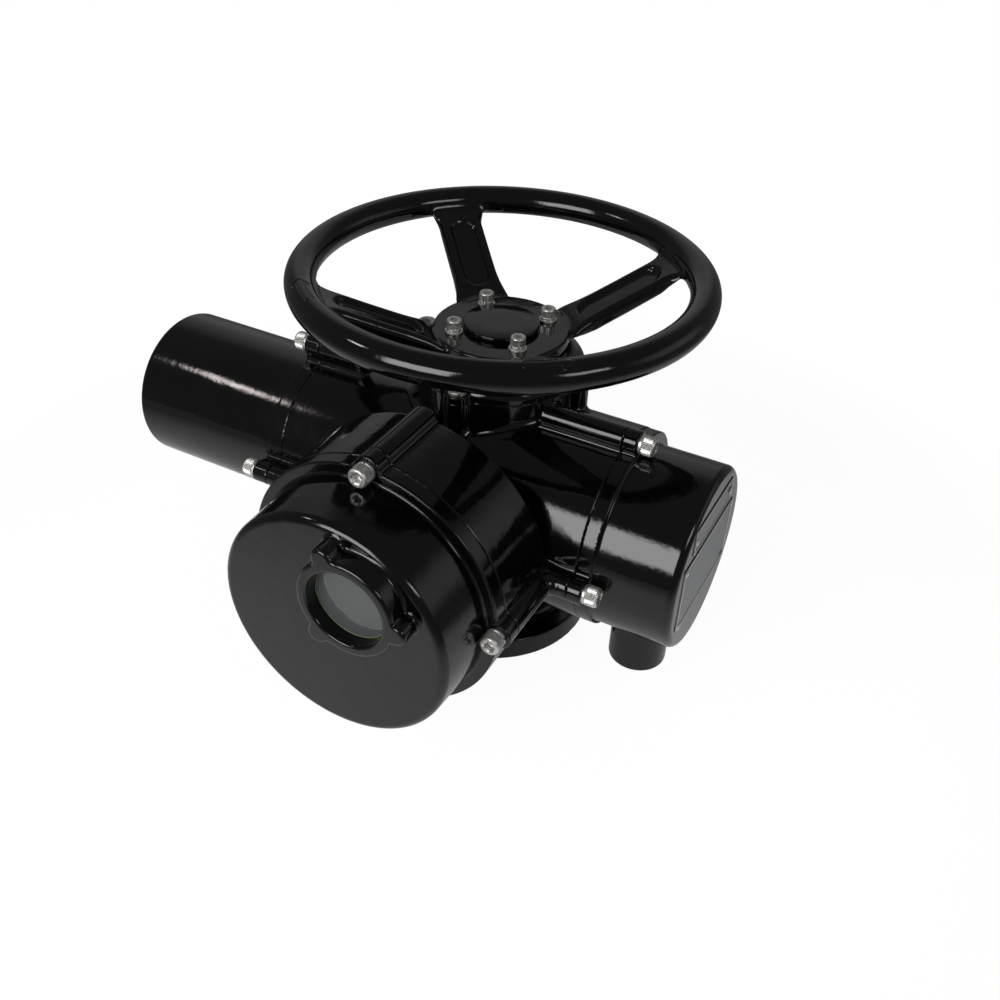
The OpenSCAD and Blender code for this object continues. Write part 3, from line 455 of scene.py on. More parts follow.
def gearcase(x, y, z):
    my, mz = y + BARREL_OFF, z - AXIS_H
    # Column and foot, with the bosses under the top cover rounded off at their lower ends
    foot = meet(np.hypot(x, y) - FOOT_R, z - FOOT_H, 1.8)
    column = join(np.hypot(x, y) - COLUMN_R, foot, 5)

    def post(u, v):
        return np.hypot(np.hypot(u - COLUMN_R, v), np.maximum(NECK_BOSS_LOW - z, 0)) - NECK_BOSS_R
    body = meet(join(column, four_times(post, x, y), 3), z - NECK_Z, EDGE)
    body = meet(body, -z, 1.2)

    # Motor barrel with four long bosses
    def lug(u, v):
        start = np.maximum(MOTOR_BOSS_START + x, 0)
        boss = np.hypot(np.hypot(u - MOTOR_CIRCLE, v), start) - MOTOR_BOSS_R
        web = np.maximum(np.maximum(np.abs(u - 60) - 8, np.abs(v) - 5.5), 90 + x)
        return join(boss, web, 2)
    motor = join(np.hypot(my, mz) - MOTOR_R, four_times(lug, my, mz), 4)
    motor = meet(motor, -x - MOTOR_SEAM, EDGE)
    body = join(body, np.maximum(motor, x), 6)
    # Terminal barrel: pad and bosses start part of the way along
    pad = np.maximum(np.hypot(my - PAD_Y, mz - PAD_Z) - (PAD_R - PAD_EASE), 0)
    pad = np.hypot(pad, np.maximum(PAD_START - x, 0)) - PAD_EASE
    term = join(np.hypot(my, mz) - TERM_R, pad, 10)
    for across, up in TERM_PLACES:
        boss = np.hypot(my - across, mz - up) - TERM_BOSS_R
        term = join(term, np.maximum(boss, TERM_BOSS_START - x), 4)
    body = join(body, np.maximum(meet(term, x - TERM_SEAM, EDGE), -x), 6)
    # Control drum on its connector
    body = join(body, capped(x, mz, -y, 50, 30, 100), 6)
    drum = join(np.hypot(x, mz) - DRUM_R, ring_of(x, mz, DRUM_CIRCLE, DRUM_BOSS_R), 3)
    drum = meet(drum, -y - DRUM_SEAM, EDGE)
    body = join(body, meet(drum, DRUM_BACK + y, 3), 4)
    holes = union(
        capped(x, y, z, 42.5, UNDER, 3.5),  # register
        capped(x, y, z, 31, UNDER, 19),  # way of the drive sleeve
        capped(x, y, z, 38, 6, 14),  # seat of the base seal
        capped(x, y, z, 45, 16, 34),  # seat of the base bearing
        capped(x, y, z, 49.8, 32, FAR),  # room of the worm wheel
        capped(y + WORM_OFF, mz, x, 16.2, -77, 54),  # way of the worm
        capped(my, mz, -x, 49, 75, FAR),  # room of the gears
        capped(my, mz, -x, 51, 116, FAR),  # seat of the end shield
        capped(my, mz, x, 49.5, 66, FAR),  # terminal room
        capped(my, mz, x, 56.5, 80, FAR),  # step of the terminal board
        capped(x, mz, -y, 79, 101, FAR),  # control room
        capped(x - 73, mz, -y, 5.5, 60, 105),  # passage of the wires
        four_times(lambda u, v: capped(u - MOUNT_CIRCLE, v, z, MOUNT_R, UNDER, 14), x, y, 45))
    return cut(body, holes)


# Line of the top cover's side: radius over height, with its corners eased
TOP_LINE_Z = np.linspace(200, 224, 97)
TOP_LINE_R = np.interp(
    TOP_LINE_Z, [200, 209.5, 211.2, 212.9, 214.5, 215.9, 217.6, 219.5, 221.3, 222.4, 224],
    [57, 57, 56.5, 55.4, 53.9, 52.2, 50.7, 49.4, 48.1, 46.6, 43.5])
TOP_EASE = np.hanning(11)[1:-1]
TOP_LINE_R = np.convolve(np.pad(TOP_LINE_R, 4, mode="edge"), TOP_EASE / TOP_EASE.sum(),
                         mode="valid")


def top_cover(x, y, z):
    # A rounded lower shoulder, a shallow neck and a rounded upper shoulder, as cast
    wall = np.interp(z, TOP_LINE_Z, TOP_LINE_R)
    body = meet((np.hypot(x, y) - wall) * 0.8, z - TOP_Z, 1.2)
    bosses = meet(ring_of(x, y, COLUMN_R, NECK_BOSS_R), z - TOP_SEAT, EDGE)
    body = np.maximum(join(body, bosses, 1.5), NECK_Z - z)
    body = np.minimum(body, capped(x, y, z, 49.78, 188, 208))
    holes = union(
        capped(x, y, z, 44.02, 180, 205),  # seat of the top bearing
        capped(x, y, z, 36, 180, FAR),  # way of the hand shaft
        capped(x, y, z, 42.02, 207, FAR),  # seat of the top seal
        capped(x, y, z, 44, 213, FAR),
        groove(x, y, z, 51, 47.1, 197.65, 200.35),
        four_times(lambda u, v: capped(u - COLUMN_R, v, z, 7.3, TOP_SEAT, FAR), x, y),
        four_times(lambda u, v: capped(u - COLUMN_R, v, z, SCREW_HOLE_R, 190, FAR), x, y))
    return cut(body, holes)


def control_cover(x, y, z):
    mz, t = z - AXIS_H, -y
    flange = join(np.hypot(x, mz) - DRUM_R, ring_of(x, mz, DRUM_CIRCLE, DRUM_BOSS_R), 2.5)
    flange = meet(flange, t - DRUM_FLANGE, EDGE)
    body = join(flange, tapered(x, mz, t, 80, 77.5, DRUM_SEAM - 9, CONTROL_END, 5), 1.6)
    body = meet(body, DRUM_SEAM - t, SEAM_EDGE)
    # Window frame: a ring with three ears that flow into it and into the face
    wx, wz = x - WINDOW_X, mz - WINDOW_Z
    ring = np.hypot(wx, wz) - WINDOW_R
    for turn in (0, 120, 240):
        u, v = turned(wx, wz, EAR_ANGLE + turn)
        ring = join(ring, np.hypot(u - EAR_CIRCLE, v) - EAR_R, 2.6)
    body = join(body, np.maximum(meet(ring, t - WINDOW_END, 2.2), 190 - t), 2.5)
    body = np.minimum(body, capped(x, mz, t, 78.98, 143, 151))

    def screw_room(u, v):
        head = capped(u - DRUM_CIRCLE, v, t, HEAD_ROOM_R, DRUM_FLANGE, DRUM_FLANGE + HEAD_ROOM)
        return union(capped(u - DRUM_CIRCLE, v, t, SCREW_HOLE_R, 130, 200), head)
    holes = union(
        capped(x, mz, t, 74, 130, 198),  # room behind the face
        capped(wx, wz, t, 28.02, 183, 204),  # seat of the glass
        four_times(screw_room, x, mz),
        groove(x, mz, t, 80, 76.3, 144.65, 147.35))
    sight = capped(wx, wz, t, 25.1, 183, FAR)
    return cut(cut(body, holes), sight, 1.6)


def motor_cover(x, y, z):
    my, mz, t = y + BARREL_OFF, z - AXIS_H, -x
    lugs = ring_of(my, mz, MOTOR_CIRCLE, MOTOR_BOSS_R, 52)
    flange = meet(join(np.hypot(my, mz) - MOTOR_R, lugs, 3), t - MOTOR_FLANGE, EDGE)
    body = join(flange, capped(my, mz, t, 54.3, MOTOR_SEAM - 9, MOTOR_END, 4), 1.6)
    body = meet(body, MOTOR_SEAM - t, SEAM_EDGE)
    # The room goes round the housing of the end bearing
    room = np.maximum(capped(my, mz, t, 49.3, 100, 250.6), -capped(my, mz, t, 22, 240.6, FAR))
    holes = union(
        room,
        capped(my, mz, t, 16.02, 239.6, 250.6),  # seat of the end bearing
        four_times(lambda u, v: capped(u - MOTOR_CIRCLE, v, t, SCREW_HOLE_R, 100, 160), my, mz),
        groove(my, mz, t, 54.8, 52.1, 120, 126.7))
    return cut(body, holes)


def terminal_cover(x, y, z):
    my, mz, t = y + BARREL_OFF, z - AXIS_H, x
    flange = join(np.hypot(my, mz) - TERM_R, np.hypot(my - PAD_Y, mz - PAD_Z) - PAD_R, 8)
    for across, up in TERM_PLACES:
        flange = join(flange, np.hypot(my - across, mz - up) - TERM_BOSS_R, 3)
    flange = meet(flange, t - TERM_FLANGE, EDGE)
    body = join(flange, capped(my, mz, t, 61.7, TERM_SEAM - 9, TERM_END, 5), 1.6)
    body = meet(body, TERM_SEAM - t, SEAM_EDGE)
    body = join(body, capped(x - ENTRY_X, my, z, 20, ENTRY_Z, 106, 1.4), 4)
    body = np.minimum(body, capped(my, mz, t, 56.48, 99.5, 107.5))
    holes = union(
        capped(my, mz, t, 51, 90, 118.5),  # opening of the spigot
        capped(my, mz, t, 56.7, 108.5, 163.5),  # terminal room
        capped(x - ENTRY_X, my, z, 12.5, 0, 84.5),  # bore of the cable entry
        groove(my, mz, t, 57.5, 53.8, 101.15, 103.85))
    for across, up in TERM_PLACES:
        u, v = my - across, mz - up
        head = capped(u, v, t, HEAD_ROOM_R, TERM_FLANGE, TERM_FLANGE + HEAD_ROOM)
        holes = union(holes, capped(u, v, t, SCREW_HOLE_R, 90, 150), head)
    return cut(body, holes)


# Handwheel: rim with a flattened underside, hub plate, four spokes with round-ended channels.
# The rim is a little lower than the source's, so that the raised arrows end at its size, and
# the spokes are turned a little against the hub screws, as in the photo.
HUB_BOTTOM, HUB_TOP, HUB_CIRCLE = 224.3, 232.3, 32.5
RIM_Z, RIM_MID, RIM_TUBE = 268.13, 128.25, 9.75
SCREW_TURN, SPOKE_TURN = 46.5, 44.5
CHANNEL_IN, CHANNEL_OUT, CHANNEL_HALF, CHANNEL_DEEP = 63.0, 99.4, 9.2, 3.3
ALONG = np.linspace(0, 140, 281)


def eased(points, spread):
    """A line through (distance from the axis, value) points with its corners softened."""
    line = np.interp(ALONG, [p[0] for p in points], [p[1] for p in points])
    width = int(spread * 2)
    kernel = np.hanning(2 * width + 3)
    padded = np.pad(line, width + 1, mode="edge")
    return np.convolve(padded, kernel / kernel.sum(), mode="valid")


# Heights of a spoke's upper and lower side and half its width, over the distance from the axis
SPOKE_TOP = eased([(28, 228), (41, 229), (49, 234.6), (53.5, 237), (108, 262.2), (118, 266.3),
                   (140, 271)], 2)
SPOKE_LOW = eased([(28, 227.4), (46, 227.2), (54, 227.6), (62, 229.6), (107, 251.4),
                   (113, 257.6), (118.5, 264.0), (127, 266.5), (140, 270)], 3)
SPOKE_HALF = eased([(26, 22.5), (39, 21.6), (45, 19.4), (50, 17.7), (57, 16.2), (66, 15.4),
                    (140, 15.4)], 4)
SPOKE_LEAN = 0.91  # cosine of the spoke's climb: heights over it become distances


def quarter(x, y, first):
    """Along and across whichever of the four quarter turns is nearest."""
    r, angle = np.hypot(x, y), np.arctan2(y, x) - math.radians(first)
    angle = (angle + math.pi / 4) % (math.pi / 2) - math.pi / 4
    return r * np.cos(angle), r * np.sin(angle)


def handwheel(x, y, z):
    r = np.hypot(x, y)
    up = z - RIM_Z
    tube = np.hypot(r - RIM_MID, np.where(up < 0, up * 0.93, up)) - RIM_TUBE
    rim = meet(tube, -up - 9.3, 2.8)
    u, v = quarter(x, y, SPOKE_TURN)
    # Near the rim the height follows the distance from the middle, so the flare meets it level
    out = u + (r - u) * np.clip((r - 85) / 25, 0, 1)
    top = (z - np.interp(out, ALONG, SPOKE_TOP)) * SPOKE_LEAN
    low = (np.interp(out, ALONG, SPOKE_LOW) - z) * SPOKE_LEAN
    # Seen from above: parallel sides that run into the rim with a round fillet
    plan = join(np.abs(v) - np.interp(u, ALONG, SPOKE_HALF), 119.6 - r, 13)
    plan = np.maximum(plan, np.abs(v) - 32)
    channel = np.hypot(u - np.clip(u, CHANNEL_IN, CHANNEL_OUT), v) - CHANNEL_HALF - 0.4 * top
    spoke = meet(meet(plan, top, 4.6), low, 2.6)
    spoke = np.maximum(spoke, r - 131)
    spoke = cut(spoke, meet(channel * 0.93, -CHANNEL_DEEP - top, 2.4), 1.6)
    plate = capped(x, y, z, 45, HUB_BOTTOM, HUB_TOP, 1.6)
    body = join(rim, join(spoke, plate, 3), 3.5)
    u, v = quarter(x, y, SCREW_TURN)
    bore = capped(x, y, z, 17, 200, 260)
    return cut(body, np.minimum(bore, capped(u - HUB_CIRCLE, v, z, 3.3, 200, 260)))


# The castings: node, field, lowest corner, highest corner, grid step, body
CASTINGS = [
    ("gearcase", gearcase, (-124, -149, 0), (106, 76, 222), 1.5, "housing"),
    ("top_cover", top_cover, (-65, -65, 188), (65, 65, 223), 0.9, "housing"),
    ("control_cover", control_cover, (-96, -217, 30), (96, -143, 222), 1.0, "housing"),
    ("motor_cover", motor_cover, (-257, -105, 50), (-124, 47, 202), 1.25, "housing"),
    ("terminal_cover", terminal_cover, (99, -108, 25), (169, 50, 205), 1.1, "housing"),
    ("handwheel", handwheel, (-138, -138, 224), (138, 138, 279), 0.87, "hand_drive"),
]
for casting in CASTINGS:
    cast_piece(*casting)


# ---------------- small pieces as meshes
# Local Z of each group along X, minus X, minus Y or Z, as in the part's source
def along_x(p):
    return (p[2], p[1] - BARREL_OFF, AXIS_H - p[0])


def along_motor(p):
    return (-p[2], p[1] - BARREL_OFF, AXIS_H + p[0])


def along_front(p):
    return (p[0], -p[2], AXIS_H + p[1])


def upright(p):
    return p


def at_window(p):
    return (WINDOW_X + p[0], -p[2], AXIS_H + WINDOW_Z + p[1])


def on_face(cy, cz):
    """Panel points (x, y, out) onto the face of the terminal cover: x along Y, y along Z."""
    return lambda p: (TERM_END + p[2], cy + p[0], cz + p[1])


def at(place, circle, turn, lift, spin=0.0):
    """Moves a part to its turn on a circle and along the group's axis, spun about itself."""
    a, s = math.radians(turn), math.radians(spin)

    def move(p):
        x = p[0] * math.cos(s) - p[1] * math.sin(s)
        y = p[0] * math.sin(s) + p[1] * math.cos(s)
        return place((x + circle * math.cos(a), y + circle * math.sin(a), p[2] + lift))
    return move


class Shape:
    """Points and faces of a piece that may hold several like parts."""

    def __init__(self):
        self.points, self.faces = [], []

    def add(self, parts, place=upright):
        base = len(self.points)
        self.points += [place(p) for p in parts[0]]
        self.faces += [[base + i for i in face] for face in parts[1]]
        return self


def mesh_piece(name, shape, body, material, replaced=None, angle=35.0):
    """A piece from a shape in millimetres; edges sharper than the angle stay crisp."""
    mesh = bpy.data.meshes.new(name)
    mesh.from_pydata([(p[0] * MM, p[1] * MM, p[2] * MM) for p in shape.points], [], shape.faces)
    mesh.validate()
    mesh.materials.append(material)
    mesh.shade_smooth()
    mesh.set_sharp_from_angle(angle=math.radians(angle))
    piece = new_object(name, mesh)
    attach(piece, body)
    if replaced:
        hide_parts(replaced)


def rings(loops, closed=False):
    """Points and faces of a skin over equally long loops, closed on itself or else capped."""
    n = len(loops[0])
    points = [p for loop in loops for p in loop]
    faces = []
    for i in range(len(loops) if closed else len(loops) - 1):
        a, b = i * n, (i + 1) % len(loops) * n
        for k in range(n):
            m = (k + 1) % n
            faces.append([a + k, a + m, b + m, b + k])
    if not closed:
        faces.append(list(range(n))[::-1])
        faces.append([(len(loops) - 1) * n + k for k in range(n)])
    return points, faces


def flipped(parts):
    """The same part with its faces turned to their other side."""
    return parts[0], [face[::-1] for face in parts[1]]


def polar(r, angle, z):
    return (r * math.cos(angle), r * math.sin(angle), z)


def round_loop(r, z, n):
    return [polar(r, 2 * math.pi * k / n, z) for k in range(n)]


def lathe_parts(section, n=96, closed=False):
    """Turned part from (radius, height) points, on the axis at both ends unless it is closed."""
    if not closed:
        return rings([round_loop(max(r, 0.02), z, n) for r, z in section])
    loops = [[polar(r, 2 * math.pi * k / n, z) for r, z in section] for k in range(n)]
    return flipped(rings(loops, closed=True))


def cap_screw_parts(head_r, head_h, shank_r, socket, teeth, length):
    """Socket head screw, knurled and chamfered, with its head on z = 0."""
    n = teeth * 4
    wave = (0.0, 0.10, 0.20, 0.10)
    s = head_r / 6.5

    def circle(r, z):
        return round_loop(r, z, n)

    def knurled(r, z, deep):
        return [polar(r - deep * wave[k % 4], 2 * math.pi * k / n, z) for k in range(n)]

    def hexagon(r, z):
        loop = []
        for k in range(n):
            a = 2 * math.pi * k / n
            flat = (a + math.pi / 6) % (math.pi / 3) - math.pi / 6
            loop.append(polar(r * math.cos(math.pi / 6) / math.cos(flat), a, z))
        return loop
    return rings([
        circle(shank_r - 0.6 * s, -length), circle(shank_r, -length + 0.6 * s),
        circle(shank_r, 0.0), circle(head_r - 0.5 * s, 0.0),
        knurled(head_r - 0.15 * s, 0.35 * s, 0.0), knurled(head_r, 0.55 * s, 2.2 * s),
        knurled(head_r, head_h * 0.80, 2.2 * s), knurled(head_r - 0.12 * s, head_h * 0.845, 0.0),
        circle(head_r - 0.55 * s, head_h - 0.35 * s), circle(head_r - 1.0 * s, head_h - 0.08 * s),
        circle(head_r - 1.35 * s, head_h), circle(socket * 1.13, head_h),
        hexagon(socket * 1.0, head_h - 0.55 * s), hexagon(socket * 0.985, head_h * 0.5),
        circle(socket * 0.35, head_h * 0.42), circle(0.05, head_h * 0.40)])


def ring_section(outer, inner, height, ease):
    """Section of a flat ring with its edges eased, as (radius, height) points."""
    c = min(ease, height * 0.2)
    return [(inner, c), (inner + c, 0.0), (outer - c, 0.0), (outer, c), (outer, height - c),
            (outer - c, height), (inner + c, height), (inner, height - c)]


RING_POINTS = 72


def split_ring_parts(outer, inner, height, gap):
    """Spring washer: eased edges, and one slanted split of so many degrees."""
    slant = math.radians(gap * 0.9)
    loops = []
    for k in range(RING_POINTS + 1):
        a = math.radians(gap / 2 + (360 - gap) * k / RING_POINTS)
        loops.append([polar(r, a + slant * (z / height - 0.5), z)
                      for r, z in ring_section(outer, inner, height, 0.28)])
    return flipped(rings(loops))


# Cover screws M8 and hub screws M6: radius and height of the head, radius of the shank and of
# the socket, teeth of the knurl. Then the heights of their washers.
M8 = (6.5, 8.0, 4.0, 3.42, 36)
M6 = (5.0, 6.0, 3.0, 2.55, 32)
M8_SPLIT = 2.0
M6_FLAT, M6_SPLIT, M6_GAP = 1.6, 1.58, 0.02

# Cover screws: place of the group, circle, turns, seat of the washers, length
COVER_SCREWS = {
    "top_cover_screws": (upright, COLUMN_R, QUARTERS, TOP_SEAT, 20.0),
    "control_cover_screws": (along_front, DRUM_CIRCLE, QUARTERS, DRUM_FLANGE, 25.0),
    "motor_cover_screws": (along_motor, MOTOR_CIRCLE, QUARTERS, MOTOR_FLANGE, 25.0),
    "terminal_cover_screws": (along_x, TERM_CIRCLE, TERM_TURNS, TERM_FLANGE, 25.0),
}
washers = Shape()
spin = 11.0  # each screw and washer is turned a little differently
for node, (place, circle, turns, seat, length) in COVER_SCREWS.items():
    group = Shape()
    for turn in turns:
        spin += 23.0
        group.add(cap_screw_parts(*M8, length), at(place, circle, turn, seat + M8_SPLIT, spin))
        washers.add(split_ring_parts(6.4, 4.1, M8_SPLIT, 9.0),
                    at(place, circle, turn, seat, spin * 3))
    mesh_piece(node + "_look", group, "housing", STAINLESS, node)
mesh_piece("cover_washers_look", washers, "housing", STAINLESS, "cover_washers")

hub_screws, hub_rings = Shape(), Shape()
for i in range(4):
    turn = SCREW_TURN + 90 * i
    hub_screws.add(cap_screw_parts(*M6, 19.2), at(upright, HUB_CIRCLE, turn, 235.5, 17.0 + 31 * i))
    hub_rings.add(lathe_parts(ring_section(6.0, 3.2, M6_FLAT, 0.25), RING_POINTS, closed=True),
                  at(upright, HUB_CIRCLE, turn, HUB_TOP))
    hub_rings.add(split_ring_parts(4.9, 3.1, M6_SPLIT, 11.0),
                  at(upright, HUB_CIRCLE, turn, HUB_TOP + M6_FLAT + M6_GAP, 70.0 * i + 200))
mesh_piece("hub_screws_look", hub_screws, "hand_drive", STAINLESS, "hub_screws")
mesh_piece("hub_washers_look", hub_rings, "hand_drive", STAINLESS, "hub_washers")

# Hub cap: turned, with an eased edge and a spigot in the wheel's bore
hub_cap = Shape().add(lathe_parts(
    [(0, 226.3), (16.4, 226.3), (16.98, 226.9), (16.98, HUB_TOP), (25.1, HUB_TOP),
     (25.4, 232.6), (25.4, 235.2), (25.26, 235.75), (24.86, 236.14), (24.3, 236.3),
     (12, 236.3), (0, 236.3)], 128))
mesh_piece("hub_cap_look", hub_cap, "hand_drive", PAINT, "hub_cap", 50.0)


# ---------------- window
def panel_loop(half_x, half_y, corner, inset, z):
    """Outline of a panel with round corners, set in from its edge."""
    r = max(corner - inset, 0.3)
    hx, hy = half_x - inset - r, half_y - inset - r
    loop = []
    for cx, cy, start in ((1, 1, 0), (-1, 1, 90), (-1, -1, 180), (1, -1, 270)):
        for k in range(7):
            a = math.radians(start + 15 * k)
            loop.append((cx * hx + r * math.cos(a), cy * hy + r * math.sin(a), z))
    return loop


def panel_parts(half_x, half_y, z0, z1, corner, edge, border=None, sunk=0.0):
    """Flat panel from z0 to z1 with an eased front edge. With a border its middle is sunk."""
    steps = [(0, z0), (0, z1 - edge), (edge * 0.3, z1 - edge * 0.3), (edge, z1)]
    if border:
        steps += [(border, z1), (border + edge * 0.4, z1 - edge * 0.3), (border + sunk, z1 - sunk)]
    return rings([panel_loop(half_x, half_y, corner, inset, z) for inset, z in steps])


def border_parts(half_x, half_y, z0, z1, corner, width):
    """A raised border round a plate, with eased edges."""
    ease = 0.12
    steps = [(0, z0), (0, z1 - ease), (ease, z1), (width - ease, z1), (width, z1 - ease),
             (width, z0)]
    loops = [panel_loop(half_x, half_y, corner, inset, z) for inset, z in steps]
    return rings(loops, closed=True)


pane = Shape().add(lathe_parts(
    [(0, 198.02), (27.2, 198.02), (27.95, 198.7), (27.95, 203.3), (27.2, 203.98),
     (24.95, 204.0), (24.95, 207.4), (24.6, 207.75), (0, 207.75)], 128), at_window)
mesh_piece("window_glass_look", pane, "housing", GLASS, "window_glass", 30.0)

# The display: its case, a round mask before it, and the blank screen
bezel, screen, pane_edge = Shape(), Shape(), Shape()
bezel.add(panel_parts(25, 21.5, 183.5, 193.4, 4.0, 0.6, border=2.4, sunk=0.8), at_window)
bezel.add(lathe_parts([(0, 191.5), (23.9, 191.5), (24.0, 191.6), (24.0, 196.7), (23.7, 197.0),
                       (0, 197.0)]), at_window)
screen.add(panel_parts(18.2, 13.2, 196.5, 197.35, 1.6, 0.2), at_window)
pane_edge.add(lathe_parts([(24.5, 207.6), (25.05, 207.3), (25.05, 207.75), (24.8, 207.95),
                           (24.5, 207.85)], 128, closed=True), at_window)
mesh_piece("display_bezel", bezel, "housing", DISPLAY, "display_module", 30.0)
mesh_piece("display_screen", screen, "housing", SCREEN, None, 30.0)
mesh_piece("window_glass_edge", pane_edge, "housing", GLASS_EDGE, None, 40.0)


# ---------------- bare rating plates and rivets
PLATE_Y, PLATE_Z, SMALL_Z = -30.8, 123.5, 162.0

large, small, borders, rivets = Shape(), Shape(), Shape(), Shape()
large_place, small_place = on_face(PLATE_Y, PLATE_Z), on_face(PLATE_Y, SMALL_Z)
large.add(panel_parts(45.0, 25.0, 0.0, 0.6, 1.6, 0.16, border=1.1, sunk=0.22), large_place)
small.add(panel_parts(34.0, 9.5, 0.0, 0.6, 1.4, 0.16, border=0.9, sunk=0.22), small_place)
borders.add(border_parts(44.6, 24.6, 0.3, 0.78, 1.4, 1.1), large_place)
borders.add(border_parts(33.6, 9.1, 0.3, 0.78, 1.2, 0.9), small_place)
dome = lathe_parts([(0, -2.9), (1.15, -2.9), (1.2, 0.55), (2.2, 0.6), (2.18, 0.95), (1.9, 1.28),
                    (1.4, 1.5), (0.75, 1.59), (0, 1.6)], 32)
for side in (-1, 1):
    rivets.add(dome, on_face(PLATE_Y + side * 30.8, SMALL_Z))
    for up in (-1, 1):
        rivets.add(dome, on_face(PLATE_Y + side * 41.8, PLATE_Z + up * 21.8))
mesh_piece("rating_plate_borders", borders, "housing", STAINLESS, None, 30.0)
mesh_piece("rating_plate_large_look", large, "housing", PLATE,
           "rating_plate_large", 30.0)
mesh_piece("rating_plate_small_look", small, "housing", PLATE,
           "rating_plate_small", 30.0)
mesh_piece("plate_rivets_look", rivets, "housing", STAINLESS, "plate_rivets", 30.0)


# ---------------- raised arrows on the rim
# Section of the bead: across its line, and lift off the rim
BEAD = ((-0.72, -0.5), (-0.58, 0.12), (-0.34, 0.35), (0.34, 0.35), (0.58, 0.12), (0.72, -0.5))
BEAD_STEP = 0.8


def on_rim(turn, tilt, lift):
    """A point on the rim: turn round the wheel and tilt up from its outer side, in degrees."""
    a, b = math.radians(turn), math.radians(tilt)
    r = RIM_MID + (RIM_TUBE + lift) * math.cos(b)
    return polar(r, a, RIM_Z + (RIM_TUBE + lift) * math.sin(b))


def arrow_parts(turn, tilt, length, width, flip):
    """Outline of an arrow as a raised bead that follows the rim's surface."""
    half, head = width / 2, length / 2 - width * 0.62
    shape = [(-length / 2, -half * 0.5), (head, -half * 0.5), (head, -half), (length / 2, 0),
             (head, half), (head, half * 0.5), (-length / 2, half * 0.5)]
    line = []
    for (sx, sy), (ex, ey) in zip(shape, shape[1:] + shape[:1]):
        count = max(2, int(math.hypot(ex - sx, ey - sy) / BEAD_STEP))
        line += [(sx + (ex - sx) * i / count, sy + (ey - sy) * i / count) for i in range(count)]
    reach = RIM_MID + RIM_TUBE * math.cos(math.radians(tilt))
    loops = []
    for k, (px, py) in enumerate(line):
        qx, qy = line[(k + 1) % len(line)]
        ox, oy = line[k - 1]
        tx, ty = qx - ox, qy - oy
        size = math.hypot(tx, ty)
        nx, ny = -ty / size, tx / size
        loop = []
        for across, lift in BEAD:
            u, v = (px + nx * across) * flip, py + ny * across
            b = tilt + math.degrees(v / RIM_TUBE)
            loop.append(on_rim(turn + math.degrees(u / reach), b, lift))
        loops.append(loop if flip > 0 else loop[::-1])
    return flipped(rings(loops, closed=True))


arrows = Shape()
arrows.add(arrow_parts(-130.2, 83.0, 28.0, 11.5, -1))
arrows.add(arrow_parts(-51.2, 81.0, 28.5, 11.5, 1))
mesh_piece("rim_arrows", arrows, "hand_drive", PAINT, None, 60.0)


# ---------------- stage, camera and light
CAM_AZ, CAM_EL, CAM_ROLL = math.radians(26.6), math.radians(36.8), math.radians(2.6)
CAM_TARGET = Vector((21.3, -33.1, 118.6)) * MM
CAM_DISTANCE = 742.1 * MM
CAM_LENS, CAM_SENSOR = 38.62, 36.0
LIGHT_AIM = Vector((0.0, -0.04, 0.14))


def add_camera():
    back = Vector((math.sin(CAM_AZ) * math.cos(CAM_EL), -math.cos(CAM_AZ) * math.cos(CAM_EL),
                   math.sin(CAM_EL)))
    right = Vector((math.cos(CAM_AZ), math.sin(CAM_AZ), 0.0))
    up = back.cross(right)
    c, s = math.cos(CAM_ROLL), math.sin(CAM_ROLL)
    data = bpy.data.cameras.new("camera")
    data.lens = CAM_LENS
    data.sensor_width = CAM_SENSOR
    cam = new_object("camera", data)
    rot = Matrix((c * right + s * up, c * up - s * right, back)).transposed()
    cam.matrix_world = Matrix.Translation(CAM_TARGET + back * CAM_DISTANCE) @ rot.to_4x4()
    bpy.context.scene.camera = cam


def smooth_range(nodes, links, source, start, end, first=0.0, last=1.0):
    """Goes softly from first to last while the source goes from start to end."""
    node = nodes.new("ShaderNodeMapRange")
    node.interpolation_type = "SMOOTHSTEP"
    node.inputs["From Min"].default_value = start
    node.inputs["From Max"].default_value = end
    node.inputs["To Min"].default_value = first
    node.inputs["To Max"].default_value = last
    links.new(source, node.inputs["Value"])
    return node.outputs[0]


def product(nodes, links, a, b):
    node = nodes.new("ShaderNodeMath")
    node.operation = "MULTIPLY"
    links.new(a, node.inputs[0])
    links.new(b, node.inputs[1])
    return node.outputs[0]


def area_lamp(name, place, size, power, softness, colour):
    """A lamp panel whose light fades towards its edges, as cloth in front of a lamp does."""
    data = bpy.data.lights.new(name, "AREA")
    data.shape = "RECTANGLE"
    data.size, data.size_y = size
    data.energy = power
    data.color = colour
    data.use_nodes = True
    nodes, links = data.node_tree.nodes, data.node_tree.links
    place_on = nodes.new("ShaderNodeNewGeometry")
    split = nodes.new("ShaderNodeSeparateXYZ")
    links.new(place_on.outputs["Parametric"], split.inputs[0])
    fades = []
    for axis in range(2):
        fold = nodes.new("ShaderNodeMath")
        fold.operation = "PINGPONG"
        fold.inputs[1].default_value = 0.5
        links.new(split.outputs[axis], fold.inputs[0])
        fades.append(smooth_range(nodes, links, fold.outputs[0], 0.0, softness))
    links.new(product(nodes, links, *fades), nodes["Emission"].inputs["Strength"])
    lamp = new_object(name, data)
    lamp.location = place
    lamp.rotation_euler = (LIGHT_AIM - place).to_track_quat("-Z", "Y").to_euler()


